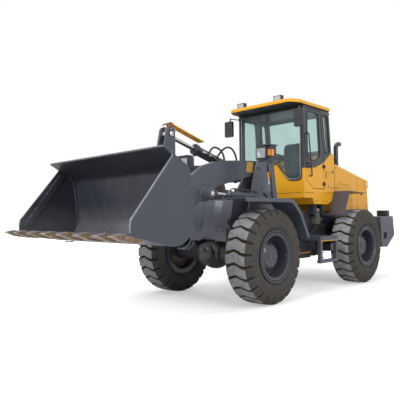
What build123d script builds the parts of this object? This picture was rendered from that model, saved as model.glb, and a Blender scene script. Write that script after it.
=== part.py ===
from build123d import *
import math
import os

# Articulated wheel loader of the three tonne class, in millimetres.
# Everything is laid out with Y = 0 at the articulation pins and Z = 0 on the ground.
# The front of the machine faces -Y and its left side faces +X.
# The finished pieces are moved along Y at the end, so that the origin lies under the middle.

# Wheels and tyres
TYRE_RADIUS = 675.0
TYRE_WIDTH = 445.0
RIM_SEAT_RADIUS = 318.0
RIM_FLANGE_RADIUS = 371.0
RIM_WIDTH = 400.0
RIM_WALL = 22.0
TREAD_WIDTH = 1859.0
AXLE_FROM_PIVOT = 1440.0
HUB_RADIUS = 180.0
SPINDLE_RADIUS = 80.0
LUGS = 24
LUG_DEPTH = 28.0
LUG_GAP = 36.0
RUNNING_FIT = 0.05
SEAT_GAP = 0.3
MOVING_GAP = 6.0

# Axles
AXLE_TUBE_RADIUS = 115.0
DIFF_RADIUS = 245.0
BRAKE_RADIUS = 205.0
AXLE_PAD_WIDTH = 170.0

# Front frame
FRAME_PLATE = 30.0
FRAME_END = 420.0
INNER_PLATE_X = 380.0
TOWER_PLATE_X = 520.0
HINGE_RADIUS = 110.0
HINGE_PIN_RADIUS = 40.0
HINGE_PLATE = 30.0
HINGE_LOW_Z = 560.0
HINGE_HIGH_Z = 1150.0
TONGUE = 60.0
HINGE_GAP = 5.0
HINGE_WALL_Y = -520.0
TIE_EYE_Y = -1600.0
TIE_EYE_Z = 1160.0
TIE_BORE_RADIUS = 20.0

# Boom
BOOM_PIVOT_Y = -980.0
BOOM_PIVOT_Z = 1990.0
BOOM_X = 440.0
BOOM_PLATE = 60.0
BOOM_BOSS = 10.0
BOOM_PIVOT_RADIUS = 112.0
PIN_RADIUS = 38.0
PIN_SIDE_GAP = 0.5
LIFT_PIN_Y = -2220.0
LIFT_PIN_Z = 1560.0
CROSS_TUBE_RADIUS = 95.0

# Bucket
BUCKET_PIN_Y = -2982.0
BUCKET_PIN_Z = 1140.0
BUCKET_WIDTH = 2416.0
BUCKET_PLATE = 22.0
BUCKET_SIDE = 25.0
FLOOR_TILT = 13.0
EDGE_Y = -4050.0
EDGE_Z = 1058.0
EAR_PLATE = 35.0
EAR_RADIUS = 100.0
TOOTH_REACH = 155.0
BLADE_REACH = 45.0
BLADE_THICKNESS = 32.0
EDGE_STRIP = 12.0

# Rocker and link
ROCKER_PIN_Y = -2468.0
ROCKER_PIN_Z = 1653.0
ROCKER_TOP_Y = -2450.0
ROCKER_TOP_Z = 2410.0
ROCKER_LOW_Y = -2640.0
ROCKER_LOW_Z = 1143.0
ROCKER_GAP = 100.0
ROCKER_PLATE = 38.0
LINK_PIN_Y = -3019.0
LINK_PIN_Z = 1432.0
LINK_WIDTH = 70.0

# Hydraulic cylinders
TILT_EYE_WIDTH = 100.0
TILT_BARREL_RADIUS = 72.0
TILT_ROD_RADIUS = 34.0
TILT_GLAND_FROM_EYE = 565.0
LIFT_X = 620.0
LIFT_BASE_Y = -800.0
LIFT_BASE_Z = 1500.0
LIFT_BARREL_RADIUS = 58.0
LIFT_ROD_RADIUS = 30.0
LIFT_BARREL_LENGTH = 1100.0
STEER_BASE_X = 340.0
STEER_BASE_Y = 620.0
STEER_EYE_X = 300.0
STEER_EYE_Y = -400.0
STEER_Z = 850.0
STEER_BARREL_RADIUS = 42.0
STEER_ROD_RADIUS = 20.0
STEER_BARREL_LENGTH = 600.0
STEER_ROD_LENGTH = 700.0
STEER_WINDOW = 140.0
GUARD_RISE = 155.0
GUARD_LENGTH = 720.0
GUARD_PLATE = 10.0

# Rear frame and body
REAR_PLATE_X = 500.0
REAR_PLATE = 30.0
REAR_TOP_Z = 1310.0
REAR_LOW_Z = 890.0
CAB_FRONT_Y = 30.0
CAB_REAR_Y = 960.0
CAB_HALF = 700.0
CAB_FLOOR_Z = 1545.0
CAB_BELLY_Z = 1440.0
CAB_SILL_Z = 2050.0
CAB_ROOF_Z = 3140.0
CAB_WALL = 50.0
ROOF_THICKNESS = 65.0
ROOF_FRONT_Y = -295.0
ROOF_REACH = 25.0
GLASS = 8.0
HOOD_HALF = 700.0
HOOD_FRONT_Y = 1080.0
HOOD_REAR_Y = 2400.0
HOOD_TOP_FRONT_Z = 2215.0
HOOD_TOP_REAR_Z = 1975.0
HOOD_LOW_Z = 1316.0
HOOD_WALL = 25.0
HOOD_LEAN = 80.0
HOOD_ROUND = 60.0
RAIL_RADIUS = 12.0
RAIL_REACH = 45.0
HOOD_HINGE_Y = 2430.0
HOOD_HINGE_Z = 1345.0
HOOD_PIN_RADIUS = 16.0
HOOD_PIN_LENGTH = 68.0
GRILLE_KNUCKLE = 15.0
GRILLE_PIN_RADIUS = 8.0
GRILLE_LOW = 95.0
GRILLE_HEIGHT = 510.0
GRILLE_THICKNESS = 30.0
STACK_X = 450.0
STACK_Y = 1620.0
STACK_RADIUS = 45.0
STACK_SEAT_Z = 2165.0
STACK_TOP_Z = 2680.0
DOOR_FRONT_Y = 96.0
DOOR_HINGE_Y = 700.0
DOOR_LOW_Z = 1712.0
DOOR_TOP_Z = 3090.0
DOOR_HINGES_Z = (1800.0, 2110.0)
WEIGHT_HALF = 1100.0
WEIGHT_FRONT_Y = 2145.0
WEIGHT_REAR_Y = 2805.0
WEIGHT_TOP_Z = 1210.0
WEIGHT_LOW_Z = 600.0
HITCH_Y = 2745.0
HITCH_RADIUS = 20.0
HITCH_LOW_Z = 810.0
HITCH_HIGH_Z = 1100.0
HITCH_JAW_LOW_Z = 860.0
HITCH_JAW_HIGH_Z = 1000.0

# Worked out from the sizes above
HALF_TREAD = TREAD_WIDTH / 2
AXLE_Z = TYRE_RADIUS
FLOOR_DIR = (-math.cos(math.radians(FLOOR_TILT)), math.sin(math.radians(FLOOR_TILT)))
FLOOR_UP = (math.sin(math.radians(FLOOR_TILT)), math.cos(math.radians(FLOOR_TILT)))
BUCKET_TIP_Y = EDGE_Y + FLOOR_DIR[0] * (BLADE_REACH + TOOTH_REACH)
ORIGIN_SHIFT = -(BUCKET_TIP_Y + WEIGHT_REAR_Y) / 2


def on_side(x):
    """The plane at this X whose own axes are the machine's Y and Z."""
    return Plane(origin=(x, 0, 0), x_dir=(0, 1, 0), z_dir=(1, 0, 0))


def panel(outline, radius=0.0, grow=0.0):
    """A flat face inside an outline, with rounded corners, or grown all round."""
    if radius:
        face = make_face(FilletPolyline(*outline, radius=radius, close=True))
    else:
        face = make_face(Polyline(*outline, close=True))
    return offset(face, grow, kind=Kind.INTERSECTION) if grow else face


def slab(outline, x_low, x_high, radius=0.0, grow=0.0):
    """A plate with a side outline of (Y, Z) points, from one X to another."""
    return extrude(on_side(x_low) * panel(outline, radius, grow), x_high - x_low)


def rod(y, z, radius, x_low, x_high):
    """A round bar along X."""
    return extrude(on_side(x_low) * Pos(y, z) * Circle(radius), x_high - x_low)


def bar(y0, z0, y1, z1, radius, x=0.0):
    """A round bar in a side plane, from one (Y, Z) point to another."""
    length = math.hypot(y1 - y0, z1 - z0)
    plane = Plane(origin=(x, y0, z0), z_dir=(0, y1 - y0, z1 - z0))
    return extrude(plane * Circle(radius), length)


def box(x0, x1, y0, y1, z0, z1):
    """A block between two corners."""
    return Pos((x0 + x1) / 2, (y0 + y1) / 2, (z0 + z1) / 2) * Box(x1 - x0, y1 - y0, z1 - z0)


def both(make):
    """The same piece on the left and on the right."""
    left = make()
    return left + mirror(left, Plane.YZ)


def hull(circles, x_low, x_high):
    """A plate around round bosses, each (Y, Z, radius), joined by straight tangents."""
    points = []
    for y, z, radius in circles:
        for step in range(24):
            angle = math.radians(15 * step)
            points.append((y + radius * math.cos(angle), z + radius * math.sin(angle)))
    return extrude(on_side(x_low) * make_face(Polyline(*around(points), close=True)), x_high - x_low)


def around(points):
    """The convex outline of a cloud of points, anticlockwise."""
    points = sorted(set((round(y, 4), round(z, 4)) for y, z in points))

    def chain(cloud):
        kept = []
        for p in cloud:
            while len(kept) > 1 and turn(kept[-2], kept[-1], p) <= 0:
                kept.pop()
            kept.append(p)
        return kept[:-1]

    return chain(points) + chain(points[::-1])


def turn(a, b, c):
    """Positive where the way from a to b to c turns left."""
    return (b[0] - a[0]) * (c[1] - a[1]) - (b[1] - a[1]) * (c[0] - a[0])


def beside(points, gap):
    """A path beside this one, at a gap to its right."""
    lines = []
    for (y0, z0), (y1, z1) in zip(points, points[1:]):
        length = math.hypot(y1 - y0, z1 - z0)
        ny = (z1 - z0) / length * gap
        nz = -(y1 - y0) / length * gap
        lines.append(((y0 + ny, z0 + nz), (y1 + ny, z1 + nz)))
    path = [lines[0][0]]
    for (a, b), (c, d) in zip(lines, lines[1:]):
        cross = (b[0] - a[0]) * (d[1] - c[1]) - (b[1] - a[1]) * (d[0] - c[0])
        t = ((c[0] - a[0]) * (d[1] - c[1]) - (c[1] - a[1]) * (d[0] - c[0])) / cross
        path.append((a[0] + t * (b[0] - a[0]), a[1] + t * (b[1] - a[1])))
    path.append(lines[-1][1])
    return path


def band(points, thickness, bends, x_low, x_high):
    """A bent plate along a path of (Y, Z) points, with a radius for each bend and its thickness inside."""
    back = beside(points, thickness)
    outer = FilletPolyline(*points, radius=bends)
    inner = FilletPolyline(*back, radius=[radius - thickness for radius in bends])
    ends = Line(points[0], back[0]) + Line(points[-1], back[-1])
    return extrude(on_side(x_low) * make_face(Curve() + [outer, inner, ends]), x_high - x_low)


def tube(points, radius):
    """A bent eight sided bar through (X, Y, Z) points, with tight bends."""
    path = FilletPolyline(*points, radius=2.2 * radius)
    start = Plane(origin=points[0], z_dir=tuple(Vector(points[1]) - Vector(points[0])))
    return sweep(start * RegularPolygon(radius, 8), path)


def save(shape, name):
    """Moves a piece to the final origin and writes it."""
    export_step(Pos(0, ORIGIN_SHIFT, 0) * shape, f"parts/{name}.step")


def ring(profile, x, outward):
    """A solid turned around the axle line from (radius, X) points, X measured outward."""
    points = [(x + outward * along, r) for r, along in profile]
    face = Plane.XZ * make_face(Polyline(*points, close=True))
    return Pos(0, 0, AXLE_Z) * revolve(face, Axis.X)


def facets(sections):
    """A solid of flat facets around the axle line, through (X, radius) sections."""
    faces = []
    for x, radius in sections:
        outline = RegularPolygon(radius, LUGS, major_radius=False, rotation=180 / LUGS)
        faces.append(on_side(x) * outline)
    return loft(faces, ruled=True)


def tyre(y, outward):
    """An earthmover tyre: a facet for each lug, and stepped grooves that run out over the shoulders."""
    half = TYRE_WIDTH / 2
    bead = RIM_SEAT_RADIUS + SEAT_GAP
    seat = RIM_WIDTH / 2 - RIM_WALL - SEAT_GAP
    flange = RIM_FLANGE_RADIUS + SEAT_GAP
    shoulder = [(half - 62, TYRE_RADIUS), (half - 14, 0.9 * TYRE_RADIUS), (half, 0.74 * TYRE_RADIUS)]
    body = facets([(-x, radius) for x, radius in shoulder[::-1]] + shoulder)
    body -= facets([(-half - 1, bead), (half + 1, bead)])
    for side in (-1, 1):
        body -= facets([(side * seat, flange), (side * (half + 1), flange + 42)])
    step = LUG_GAP * 0.6
    path = [(-half - 20, step), (-half / 5, step), (half / 5, -step), (half + 20, -step)]
    outline = beside(path, -LUG_GAP / 2) + beside(path, LUG_GAP / 2)[::-1]
    groove = extrude(Plane.XY.offset(TYRE_RADIUS - LUG_DEPTH) * make_face(Polyline(*outline, close=True)), 60)
    body -= [Rot(X=(lug + 0.5) * 360 / LUGS) * groove for lug in range(LUGS)]
    return Pos(outward * HALF_TREAD, y, AXLE_Z) * body


def rim(y, outward):
    """A deep dished rim with its hub, bored for the axle's spindle."""
    half = RIM_WIDTH / 2
    inside = RIM_SEAT_RADIUS - RIM_WALL
    profile = [
        (SPINDLE_RADIUS + RUNNING_FIT, -60),
        (HUB_RADIUS, -60),
        (inside, -30),
        (inside, -half + 6),
        (RIM_FLANGE_RADIUS, -half - 2),
        (RIM_FLANGE_RADIUS, -half + RIM_WALL - 2),
        (RIM_SEAT_RADIUS, -half + RIM_WALL),
        (RIM_SEAT_RADIUS, half - RIM_WALL),
        (RIM_FLANGE_RADIUS, half - RIM_WALL + 2),
        (RIM_FLANGE_RADIUS, half + 2),
        (inside, half - 6),
        (inside, -8),
        (HUB_RADIUS + 12, -8),
        (HUB_RADIUS, 95),
        (HUB_RADIUS - 25, 115),
        (0, 115),
        (0, 70),
        (SPINDLE_RADIUS + RUNNING_FIT, 70),
    ]
    return Pos(0, y, 0) * ring(profile, outward * HALF_TREAD, outward)


def axle(y, nose, plate_x):
    """A rigid axle: round differential, tapered housing, brake, spindle and a pad under each frame plate."""
    pad_x = plate_x + FRAME_PLATE / 2
    spindle_end = HALF_TREAD + 60
    brake_x = HALF_TREAD - 60 - 8
    angles = [math.radians(8 + 13 * step) for step in range(4)]
    half = [
        *[(DIFF_RADIUS * math.cos(angle), DIFF_RADIUS * math.sin(angle)) for angle in angles],
        (AXLE_TUBE_RADIUS + 25, 195),
        (AXLE_TUBE_RADIUS + 10, pad_x),
        (AXLE_TUBE_RADIUS, brake_x - 40),
        (BRAKE_RADIUS, brake_x - 28),
        (BRAKE_RADIUS, brake_x),
        (SPINDLE_RADIUS, brake_x),
        (SPINDLE_RADIUS, spindle_end),
        (0, spindle_end),
    ]
    body = ring([(r, -x) for r, x in half[::-1]] + half, 0, 1)
    pinion = Plane(origin=(0, nose * 265, AXLE_Z), z_dir=(0, -nose, 0))
    body += extrude(pinion * Circle(150), 150)
    body += extrude(pinion.offset(150) * Circle(110), 325)
    for side in (-1, 1):
        x = side * pad_x
        body += box(x - AXLE_PAD_WIDTH / 2, x + AXLE_PAD_WIDTH / 2, -120, 120, AXLE_Z - 60, AXLE_Z + 165)
    return Pos(0, y, 0) * body


def wheel_and_axles():
    """Writes the four wheels and both axles."""
    for end, y in (("front", -AXLE_FROM_PIVOT), ("rear", AXLE_FROM_PIVOT)):
        for side, outward in (("left", 1), ("right", -1)):
            save(tyre(y, outward), f"tyre_{end}_{side}")
            save(rim(y, outward), f"rim_{end}_{side}")
    save(axle(-AXLE_FROM_PIVOT, -1, INNER_PLATE_X), "front_axle")
    save(axle(AXLE_FROM_PIVOT, 1, REAR_PLATE_X), "rear_axle")


def front_frame():
    """The front frame: two main plates, a nose over the axle, the boom tower and the hinge fork."""
    low = AXLE_Z + 165 + SEAT_GAP
    nose_y = -AXLE_FROM_PIVOT - 165
    a_y, a_z = BOOM_PIVOT_Y, BOOM_PIVOT_Z
    main = [
        (nose_y, low),
        (nose_y, 985),
        (-1500, 1500),
        (a_y - 120, a_z + 20),
        (a_y - 60, a_z + 118),
        (a_y + 60, a_z + 118),
        (a_y + 120, a_z + 20),
        (-620, 1350),
        (-FRAME_END, 1240),
        (-FRAME_END, 470),
        (-1150, 470),
        (-1215, low),
    ]
    x0 = INNER_PLATE_X
    frame = both(lambda: slab(main, x0, x0 + FRAME_PLATE, 20))
    tower = [
        (-1330, 1240),
        (a_y - 122, a_z + 20),
        (a_y - 60, a_z + 118),
        (a_y + 60, a_z + 118),
        (a_y + 122, a_z + 20),
        (-640, 1500),
        (-640, 1000),
        (-1260, 1000),
    ]
    t0 = TOWER_PLATE_X
    frame += both(lambda: slab(tower, t0, t0 + FRAME_PLATE, 20))
    # floor and walls between the plates
    frame += both(lambda: box(x0 + FRAME_PLATE, t0, -760, -660, 1000, 1330))
    frame += both(lambda: box(x0 + FRAME_PLATE, t0, -1250, -660, 1000, 1030))
    frame += box(-x0, x0, -1180, -FRAME_END, 470, 500)
    frame += box(-x0, x0, HINGE_WALL_Y, HINGE_WALL_Y + FRAME_PLATE, 500, 1240)
    frame += box(-x0, x0, -1180, -1150, 500, low + 140)
    nose = [
        (nose_y, low + 50),
        (nose_y, 985),
        (-1500, 1500),
        (-1470, 1500),
        (nose_y + 35, 985),
        (nose_y + 35, low + 50),
    ]
    frame += slab(nose, -x0, x0)
    # a ridge up the middle of the nose, and an arch plate over the differential
    ridge = Plane(origin=(0, nose_y, 985), x_dir=(1, 0, 0), z_dir=(0, -1500 - nose_y, 1500 - 985))
    roof = make_face(Polyline((-230, 8), (-90, -48), (90, -48), (230, 8), close=True))
    frame += extrude(ridge * roof, 505)
    beam = across([(-x0 - 1, low + 30), (-x0 - 1, 1060), (x0 + 1, 1060), (x0 + 1, low + 30)], nose_y - 30, nose_y + 5)
    frame += beam - Pos(0, nose_y, AXLE_Z - 30) * Rot(X=90) * Cylinder(DIFF_RADIUS + 35, 120)
    # tie-down eyes at the front of the main plates
    eye = ((TIE_EYE_Y, TIE_EYE_Z, 44), (TIE_EYE_Y + 70, TIE_EYE_Z, 44))
    frame += both(lambda: hull(eye, x0, x0 + FRAME_PLATE))
    frame -= both(lambda: rod(TIE_EYE_Y, TIE_EYE_Z, TIE_BORE_RADIUS, x0 - 1, x0 + FRAME_PLATE + 1))
    frame += box(-x0, x0, -1490, -1290, 1470, 1500)
    # pins for the boom, with their outer heads
    head = t0 + FRAME_PLATE + 14
    frame += rod(a_y, a_z, PIN_RADIUS, -head, head)
    # ears for the tilt cylinder, on a tube between the plates
    ear_in = TILT_EYE_WIDTH / 2 + PIN_SIDE_GAP
    tube_y, tube_z = a_y + 120, a_z - 140
    frame += rod(tube_y, tube_z, 45, -x0 - 1, x0 + 1)
    frame += both(lambda: hull(((a_y, a_z, 78), (tube_y, tube_z, 60)), ear_in, ear_in + 35))
    gap = BOOM_X - BOOM_BOSS - PIN_SIDE_GAP
    frame += both(lambda: rod(a_y, a_z, 80, x0 + FRAME_PLATE, gap))
    frame += both(lambda: rod(a_y, a_z, 80, boom_out() + PIN_SIDE_GAP, t0))
    frame += both(lambda: rod(a_y, a_z, 55, t0 + FRAME_PLATE, t0 + FRAME_PLATE + 6))
    # pins for the lift cylinders
    eye_in = LIFT_X - 35 - PIN_SIDE_GAP
    frame += both(lambda: rod(LIFT_BASE_Y, LIFT_BASE_Z, 60, t0 + FRAME_PLATE, eye_in))
    frame += both(lambda: rod(LIFT_BASE_Y, LIFT_BASE_Z, 30, eye_in, LIFT_X + 35 + PIN_SIDE_GAP))
    frame += both(lambda: rod(LIFT_BASE_Y, LIFT_BASE_Z, 45, LIFT_X + 35 + PIN_SIDE_GAP, LIFT_X + 48))
    # hinge fork
    for z in (HINGE_LOW_Z, HINGE_HIGH_Z):
        for level in (z - TONGUE / 2 - HINGE_GAP - HINGE_PLATE, z + TONGUE / 2 + HINGE_GAP):
            plate = extrude(Pos(0, 0, level) * Circle(HINGE_RADIUS), HINGE_PLATE)
            arm = Polyline((-110, 0), (-330, HINGE_WALL_Y + 10), (330, HINGE_WALL_Y + 10), (110, 0), close=True)
            plate += extrude(Pos(0, 0, level) * make_face(arm), HINGE_PLATE)
            frame += plate
        height = TONGUE + 2 * HINGE_GAP + 2 * HINGE_PLATE + 30
        frame += Pos(0, 0, z) * Cylinder(HINGE_PIN_RADIUS, height)
    # ears for the steering rods
    for side in (-1, 1):
        x = side * STEER_EYE_X
        for z in (STEER_Z - 30 - MOVING_GAP - 25, STEER_Z + 30 + MOVING_GAP):
            frame += box(x - 45, x + 45, HINGE_WALL_Y + 15, STEER_EYE_Y + 45, z, z + 25)
    return frame


def boom_out():
    """The outer X of the boom's pin bosses."""
    return BOOM_X + BOOM_PLATE + BOOM_BOSS


def front_fender(side):
    """A flat topped mudguard of folded plate over a front tyre."""
    x0 = side * (HALF_TREAD - TYRE_WIDTH / 2 + 3)
    x1 = side * (HALF_TREAD + TYRE_WIDTH / 2 - 2)
    low, high = min(x0, x1), max(x0, x1)
    top = [(-2120, 1492), (-1010, 1492), (-800, 1310), (-570, 920)]
    bends = (250, 400)
    skin = band(top, 12, bends, low, high)
    edge = band(top, 55, bends, x1 - 12 if side > 0 else x1, x1 if side > 0 else x1 + 12)
    inner = slab(
        [(-960, 1435), (-800, 1298), (-700, 1129), (-700, 1350), (-900, 1460)],
        x0 if side > 0 else x0 - 12,
        x0 + 12 if side > 0 else x0,
    )
    arm_low, arm_high = sorted((side * (TOWER_PLATE_X + FRAME_PLATE + SEAT_GAP), x0))
    arm = box(arm_low, arm_high, -780, -715, 1255, 1330)
    return skin + edge + inner + arm


def lamp_stand(side):
    """A tapered stand on the mudguard with the headlamp and the turn lamp between two plates at its top."""
    x = side * 850
    inner, outer = sorted((x - side * 130, x + side * 135))
    stand = slab([(-1430, 1492.3), (-1300, 2050), (-1080, 2050), (-990, 1492.3)], x - 6, x + 6)
    stand += slab([(-1430, 1492.3), (-1300, 2050), (-1290, 2050), (-1420, 1492.3)], x - 45, x + 45)
    stand -= slab([(-1300, 1600), (-1230, 1900), (-1150, 1900), (-1110, 1600)], x - 7, x + 7, 30)
    stand += box(inner, outer, -1310, -1140, 2045, 2057)
    stand += box(inner, outer, -1345, -1140, 2275, 2287)
    stand += box(x - 6, x + 6, -1180, -1140, 2050, 2280)
    lamp = Pos(x - side * 40, -1255, 2166) * Box(180, 150, 200)
    stand += fillet(lamp.edges().filter_by(Axis.Y), 30)
    low, high = sorted((x + side * 55, x + side * 125))
    turn = box(low, high, -1300, -1180, 2056, 2276)
    return stand + turn


def boom():
    """Two thick arms joined by a cross tube, with a bracket for the rocker."""
    g_y, g_z = BUCKET_PIN_Y, BUCKET_PIN_Z
    a_y, a_z = BOOM_PIVOT_Y, BOOM_PIVOT_Z
    arm = [
        (a_y + 90, a_z + 111),
        (-1309, 2085),
        (-1805, 2047),
        (-2003, 2017),
        (-2254, 1941),
        (-2514, 1763),
        (g_y - 75, g_z + 85),
        (g_y - 100, g_z - 10),
        (g_y - 30, g_z - 100),
        (g_y + 70, g_z - 85),
        (-2300, 1450),
        (-2160, 1450),
        (-1987, 1658),
        (-1533, 1773),
        (-1239, 1841),
        (a_y + 30, a_z - 108),
        (a_y + 110, a_z - 20),
    ]
    x0, x1 = BOOM_X, BOOM_X + BOOM_PLATE
    part = both(lambda: slab(arm, x0, x1, 18))
    pins = ((a_y, a_z, BOOM_PIVOT_RADIUS - 25), (g_y, g_z, 80))
    for y, z, radius in pins:
        part += both(lambda: rod(y, z, radius, x0 - BOOM_BOSS, boom_out()))
    part += both(lambda: rod(LIFT_PIN_Y, LIFT_PIN_Z, 70, x1, LIFT_X - 35 - PIN_SIDE_GAP))
    part += rod(LIFT_PIN_Y, LIFT_PIN_Z, CROSS_TUBE_RADIUS, -x0, x0)
    # rocker bracket on the cross tube
    b_in = ROCKER_GAP / 2 + ROCKER_PLATE + PIN_SIDE_GAP
    circles = ((LIFT_PIN_Y, LIFT_PIN_Z, CROSS_TUBE_RADIUS), (ROCKER_PIN_Y, ROCKER_PIN_Z, 85))
    part += both(lambda: hull(circles, b_in, b_in + 32))
    part += rod(ROCKER_PIN_Y, ROCKER_PIN_Z, PIN_RADIUS, -b_in - 44, b_in + 44)
    for y, z, radius in pins:
        for side in (-1, 1):
            low, high = sorted((side * (x0 - BOOM_BOSS - 1), side * (boom_out() + 1)))
            part -= rod(y, z, PIN_RADIUS + RUNNING_FIT, low, high)
    return part


def rocker():
    """Twin plates on a hub, broad in the middle, with an eye for the rod above and one for the link below."""
    inner = ROCKER_GAP / 2
    outer = inner + ROCKER_PLATE
    circles = [
        (ROCKER_TOP_Y, ROCKER_TOP_Z + 40, 75),
        (ROCKER_PIN_Y, ROCKER_PIN_Z, 95),
        (ROCKER_PIN_Y - 75, ROCKER_PIN_Z + 330, 80),
    ]
    lower = [(ROCKER_PIN_Y, ROCKER_PIN_Z, 95), (ROCKER_LOW_Y, ROCKER_LOW_Z, 75)]
    part = both(lambda: hull(circles, inner, outer) + hull(lower, inner, outer))
    part += rod(ROCKER_PIN_Y, ROCKER_PIN_Z, 88, -inner, inner)
    part += rod(ROCKER_LOW_Y, ROCKER_LOW_Z, PIN_RADIUS, -outer - 10, outer + 10)
    part += both(lambda: rod(ROCKER_TOP_Y, ROCKER_TOP_Z, PIN_RADIUS, inner, outer + 14))
    part -= rod(ROCKER_PIN_Y, ROCKER_PIN_Z, PIN_RADIUS + RUNNING_FIT, -outer - 1, outer + 1)
    return part


def link():
    """The short link from the rocker's foot to the bucket."""
    half = LINK_WIDTH / 2
    circles = [(ROCKER_LOW_Y, ROCKER_LOW_Z, 70), (LINK_PIN_Y, LINK_PIN_Z, 65)]
    part = hull([(y, z, 48) for y, z, _ in circles], -half, half)
    for y, z, radius in circles:
        part += rod(y, z, radius, -half, half)
    part -= rod(ROCKER_LOW_Y, ROCKER_LOW_Z, PIN_RADIUS + RUNNING_FIT, -half - 1, half + 1)
    return part


def bucket_path():
    """The outer line of the bucket's wrapper, from the lip round to the cutting edge."""
    lip = (-3585, 2015)
    top = (-3205, 1800)
    back = (-3140, 1330)
    heel_y = -3118
    heel = (heel_y, EDGE_Z - (heel_y - EDGE_Y) * math.tan(math.radians(FLOOR_TILT)))
    return [lip, top, back, heel, (EDGE_Y, EDGE_Z)]


def bucket():
    """The bucket: bent wrapper, side plates, ears for the boom and for the link."""
    outer = bucket_path()
    half = BUCKET_WIDTH / 2
    bends = (110, 600, 300)
    part = band(outer, BUCKET_PLATE, bends, -half, half)
    side_top = (-3480, 1955.6)
    side_path = FilletPolyline(side_top, *outer[1:], radius=bends)
    front = Polyline(outer[-1], (EDGE_Y, 1148), (-4040, 1220), (-3468, 1915), side_top)
    cheek = make_face(Curve() + [side_path, front])
    for x in (-half, half - BUCKET_SIDE):
        part += extrude(on_side(x) * cheek, BUCKET_SIDE)
    # a strip inside each cheek and a flat bar along the lip
    strip = ((-3440, 1812, 42), (-3905, 1192, 42))
    wall = half - BUCKET_SIDE
    part += both(lambda: hull(strip, wall - EDGE_STRIP, wall + 1))
    lip = [outer[0], (outer[0][0] + 110, outer[0][1] - 62.2), (outer[0][0] + 99, outer[0][1] - 82), (-3596, 1995)]
    part += slab(lip, -wall - 1, wall + 1)
    inside = extrude(on_side(-half) * cheek, 2 * half)
    boss_in = BOOM_X - BOOM_BOSS - PIN_SIDE_GAP
    boss_out = boom_out() + PIN_SIDE_GAP
    ear = ((BUCKET_PIN_Y, BUCKET_PIN_Z, EAR_RADIUS), (-3180, 1350, 60), (-3230, 1080, 60))
    for x in (boss_in - EAR_PLATE, boss_out):
        part += both(lambda: hull(ear, x, x + EAR_PLATE) - inside)
    x0 = LINK_WIDTH / 2 + PIN_SIDE_GAP
    horn = ((LINK_PIN_Y, LINK_PIN_Z, 80), (-3190, 1590, 60), (-3190, 1330, 60))
    part += both(lambda: hull(horn, x0, x0 + EAR_PLATE) - inside)
    part += both(lambda: rod(LINK_PIN_Y, LINK_PIN_Z, PIN_RADIUS, x0, x0 + EAR_PLATE + 12))
    ear_end = boss_out + EAR_PLATE + 12
    part += both(lambda: rod(BUCKET_PIN_Y, BUCKET_PIN_Z, PIN_RADIUS, boss_in - EAR_PLATE - 12, ear_end))
    return part


def on_floor(along, up):
    """A point (Y, Z) measured from the floor's front edge, along the floor and up from it."""
    y = EDGE_Y + FLOOR_DIR[0] * along + FLOOR_UP[0] * up
    z = EDGE_Z + FLOOR_DIR[1] * along + FLOOR_UP[1] * up
    return (y, z)


def cutting_edge():
    """The blade under the floor's front edge and its eight teeth."""
    half = BUCKET_WIDTH / 2 - 6
    blade = [
        on_floor(-190, 0),
        on_floor(BLADE_REACH - 30, 0),
        on_floor(BLADE_REACH, -BLADE_THICKNESS + 8),
        on_floor(BLADE_REACH - 5, -BLADE_THICKNESS),
        on_floor(-190, -BLADE_THICKNESS),
    ]
    part = slab(blade, -half, half)
    reach = BLADE_REACH + TOOTH_REACH
    tooth = [
        on_floor(-150, -BLADE_THICKNESS),
        on_floor(BLADE_REACH + 4, -BLADE_THICKNESS + 10),
        on_floor(BLADE_REACH + 4, 14),
        on_floor(BLADE_REACH + 60, 8),
        on_floor(reach, -BLADE_THICKNESS - 4),
        on_floor(reach - 6, -BLADE_THICKNESS - 12),
        on_floor(BLADE_REACH + 10, -BLADE_THICKNESS - 34),
        on_floor(-120, -BLADE_THICKNESS - 22),
    ]
    for x in (180, 540, 900, half - 45):
        part += both(lambda: slab(tooth, x - 45, x + 45))
    return part


def cylinder_barrel(y0, z0, y1, z1, eye, radius, inner, length, width, x, pin):
    """A cylinder's barrel with its base eye at one point, aimed at another."""
    total = math.hypot(y1 - y0, z1 - z0)
    uy, uz = (y1 - y0) / total, (z1 - z0) / total

    def at(s):
        return (y0 + uy * s, z0 + uz * s)

    part = bar(*at(eye + 20), *at(length - 60), radius, x)
    part += bar(*at(eye * 0.6), *at(eye + 30), min(width / 2, radius) - 2, x)
    part += bar(*at(length - 60), *at(length), radius + 10, x)
    part += rod(y0, z0, eye, x - width / 2, x + width / 2)
    part -= bar(*at(eye + 45), *at(length + 1), inner, x)
    part -= rod(y0, z0, pin + RUNNING_FIT, x - width / 2 - 1, x + width / 2 + 1)
    return part


def cylinder_rod(y0, z0, y1, z1, eye, radius, start, width, x):
    """A cylinder's rod from inside its barrel to its eye."""
    total = math.hypot(y1 - y0, z1 - z0)
    uy, uz = (y1 - y0) / total, (z1 - z0) / total
    part = bar(y0 + uy * start, z0 + uz * start, y1 - uy * eye * 0.5, z1 - uz * eye * 0.5, radius, x)
    part += rod(y1, z1, eye, x - width / 2, x + width / 2)
    return part


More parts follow.
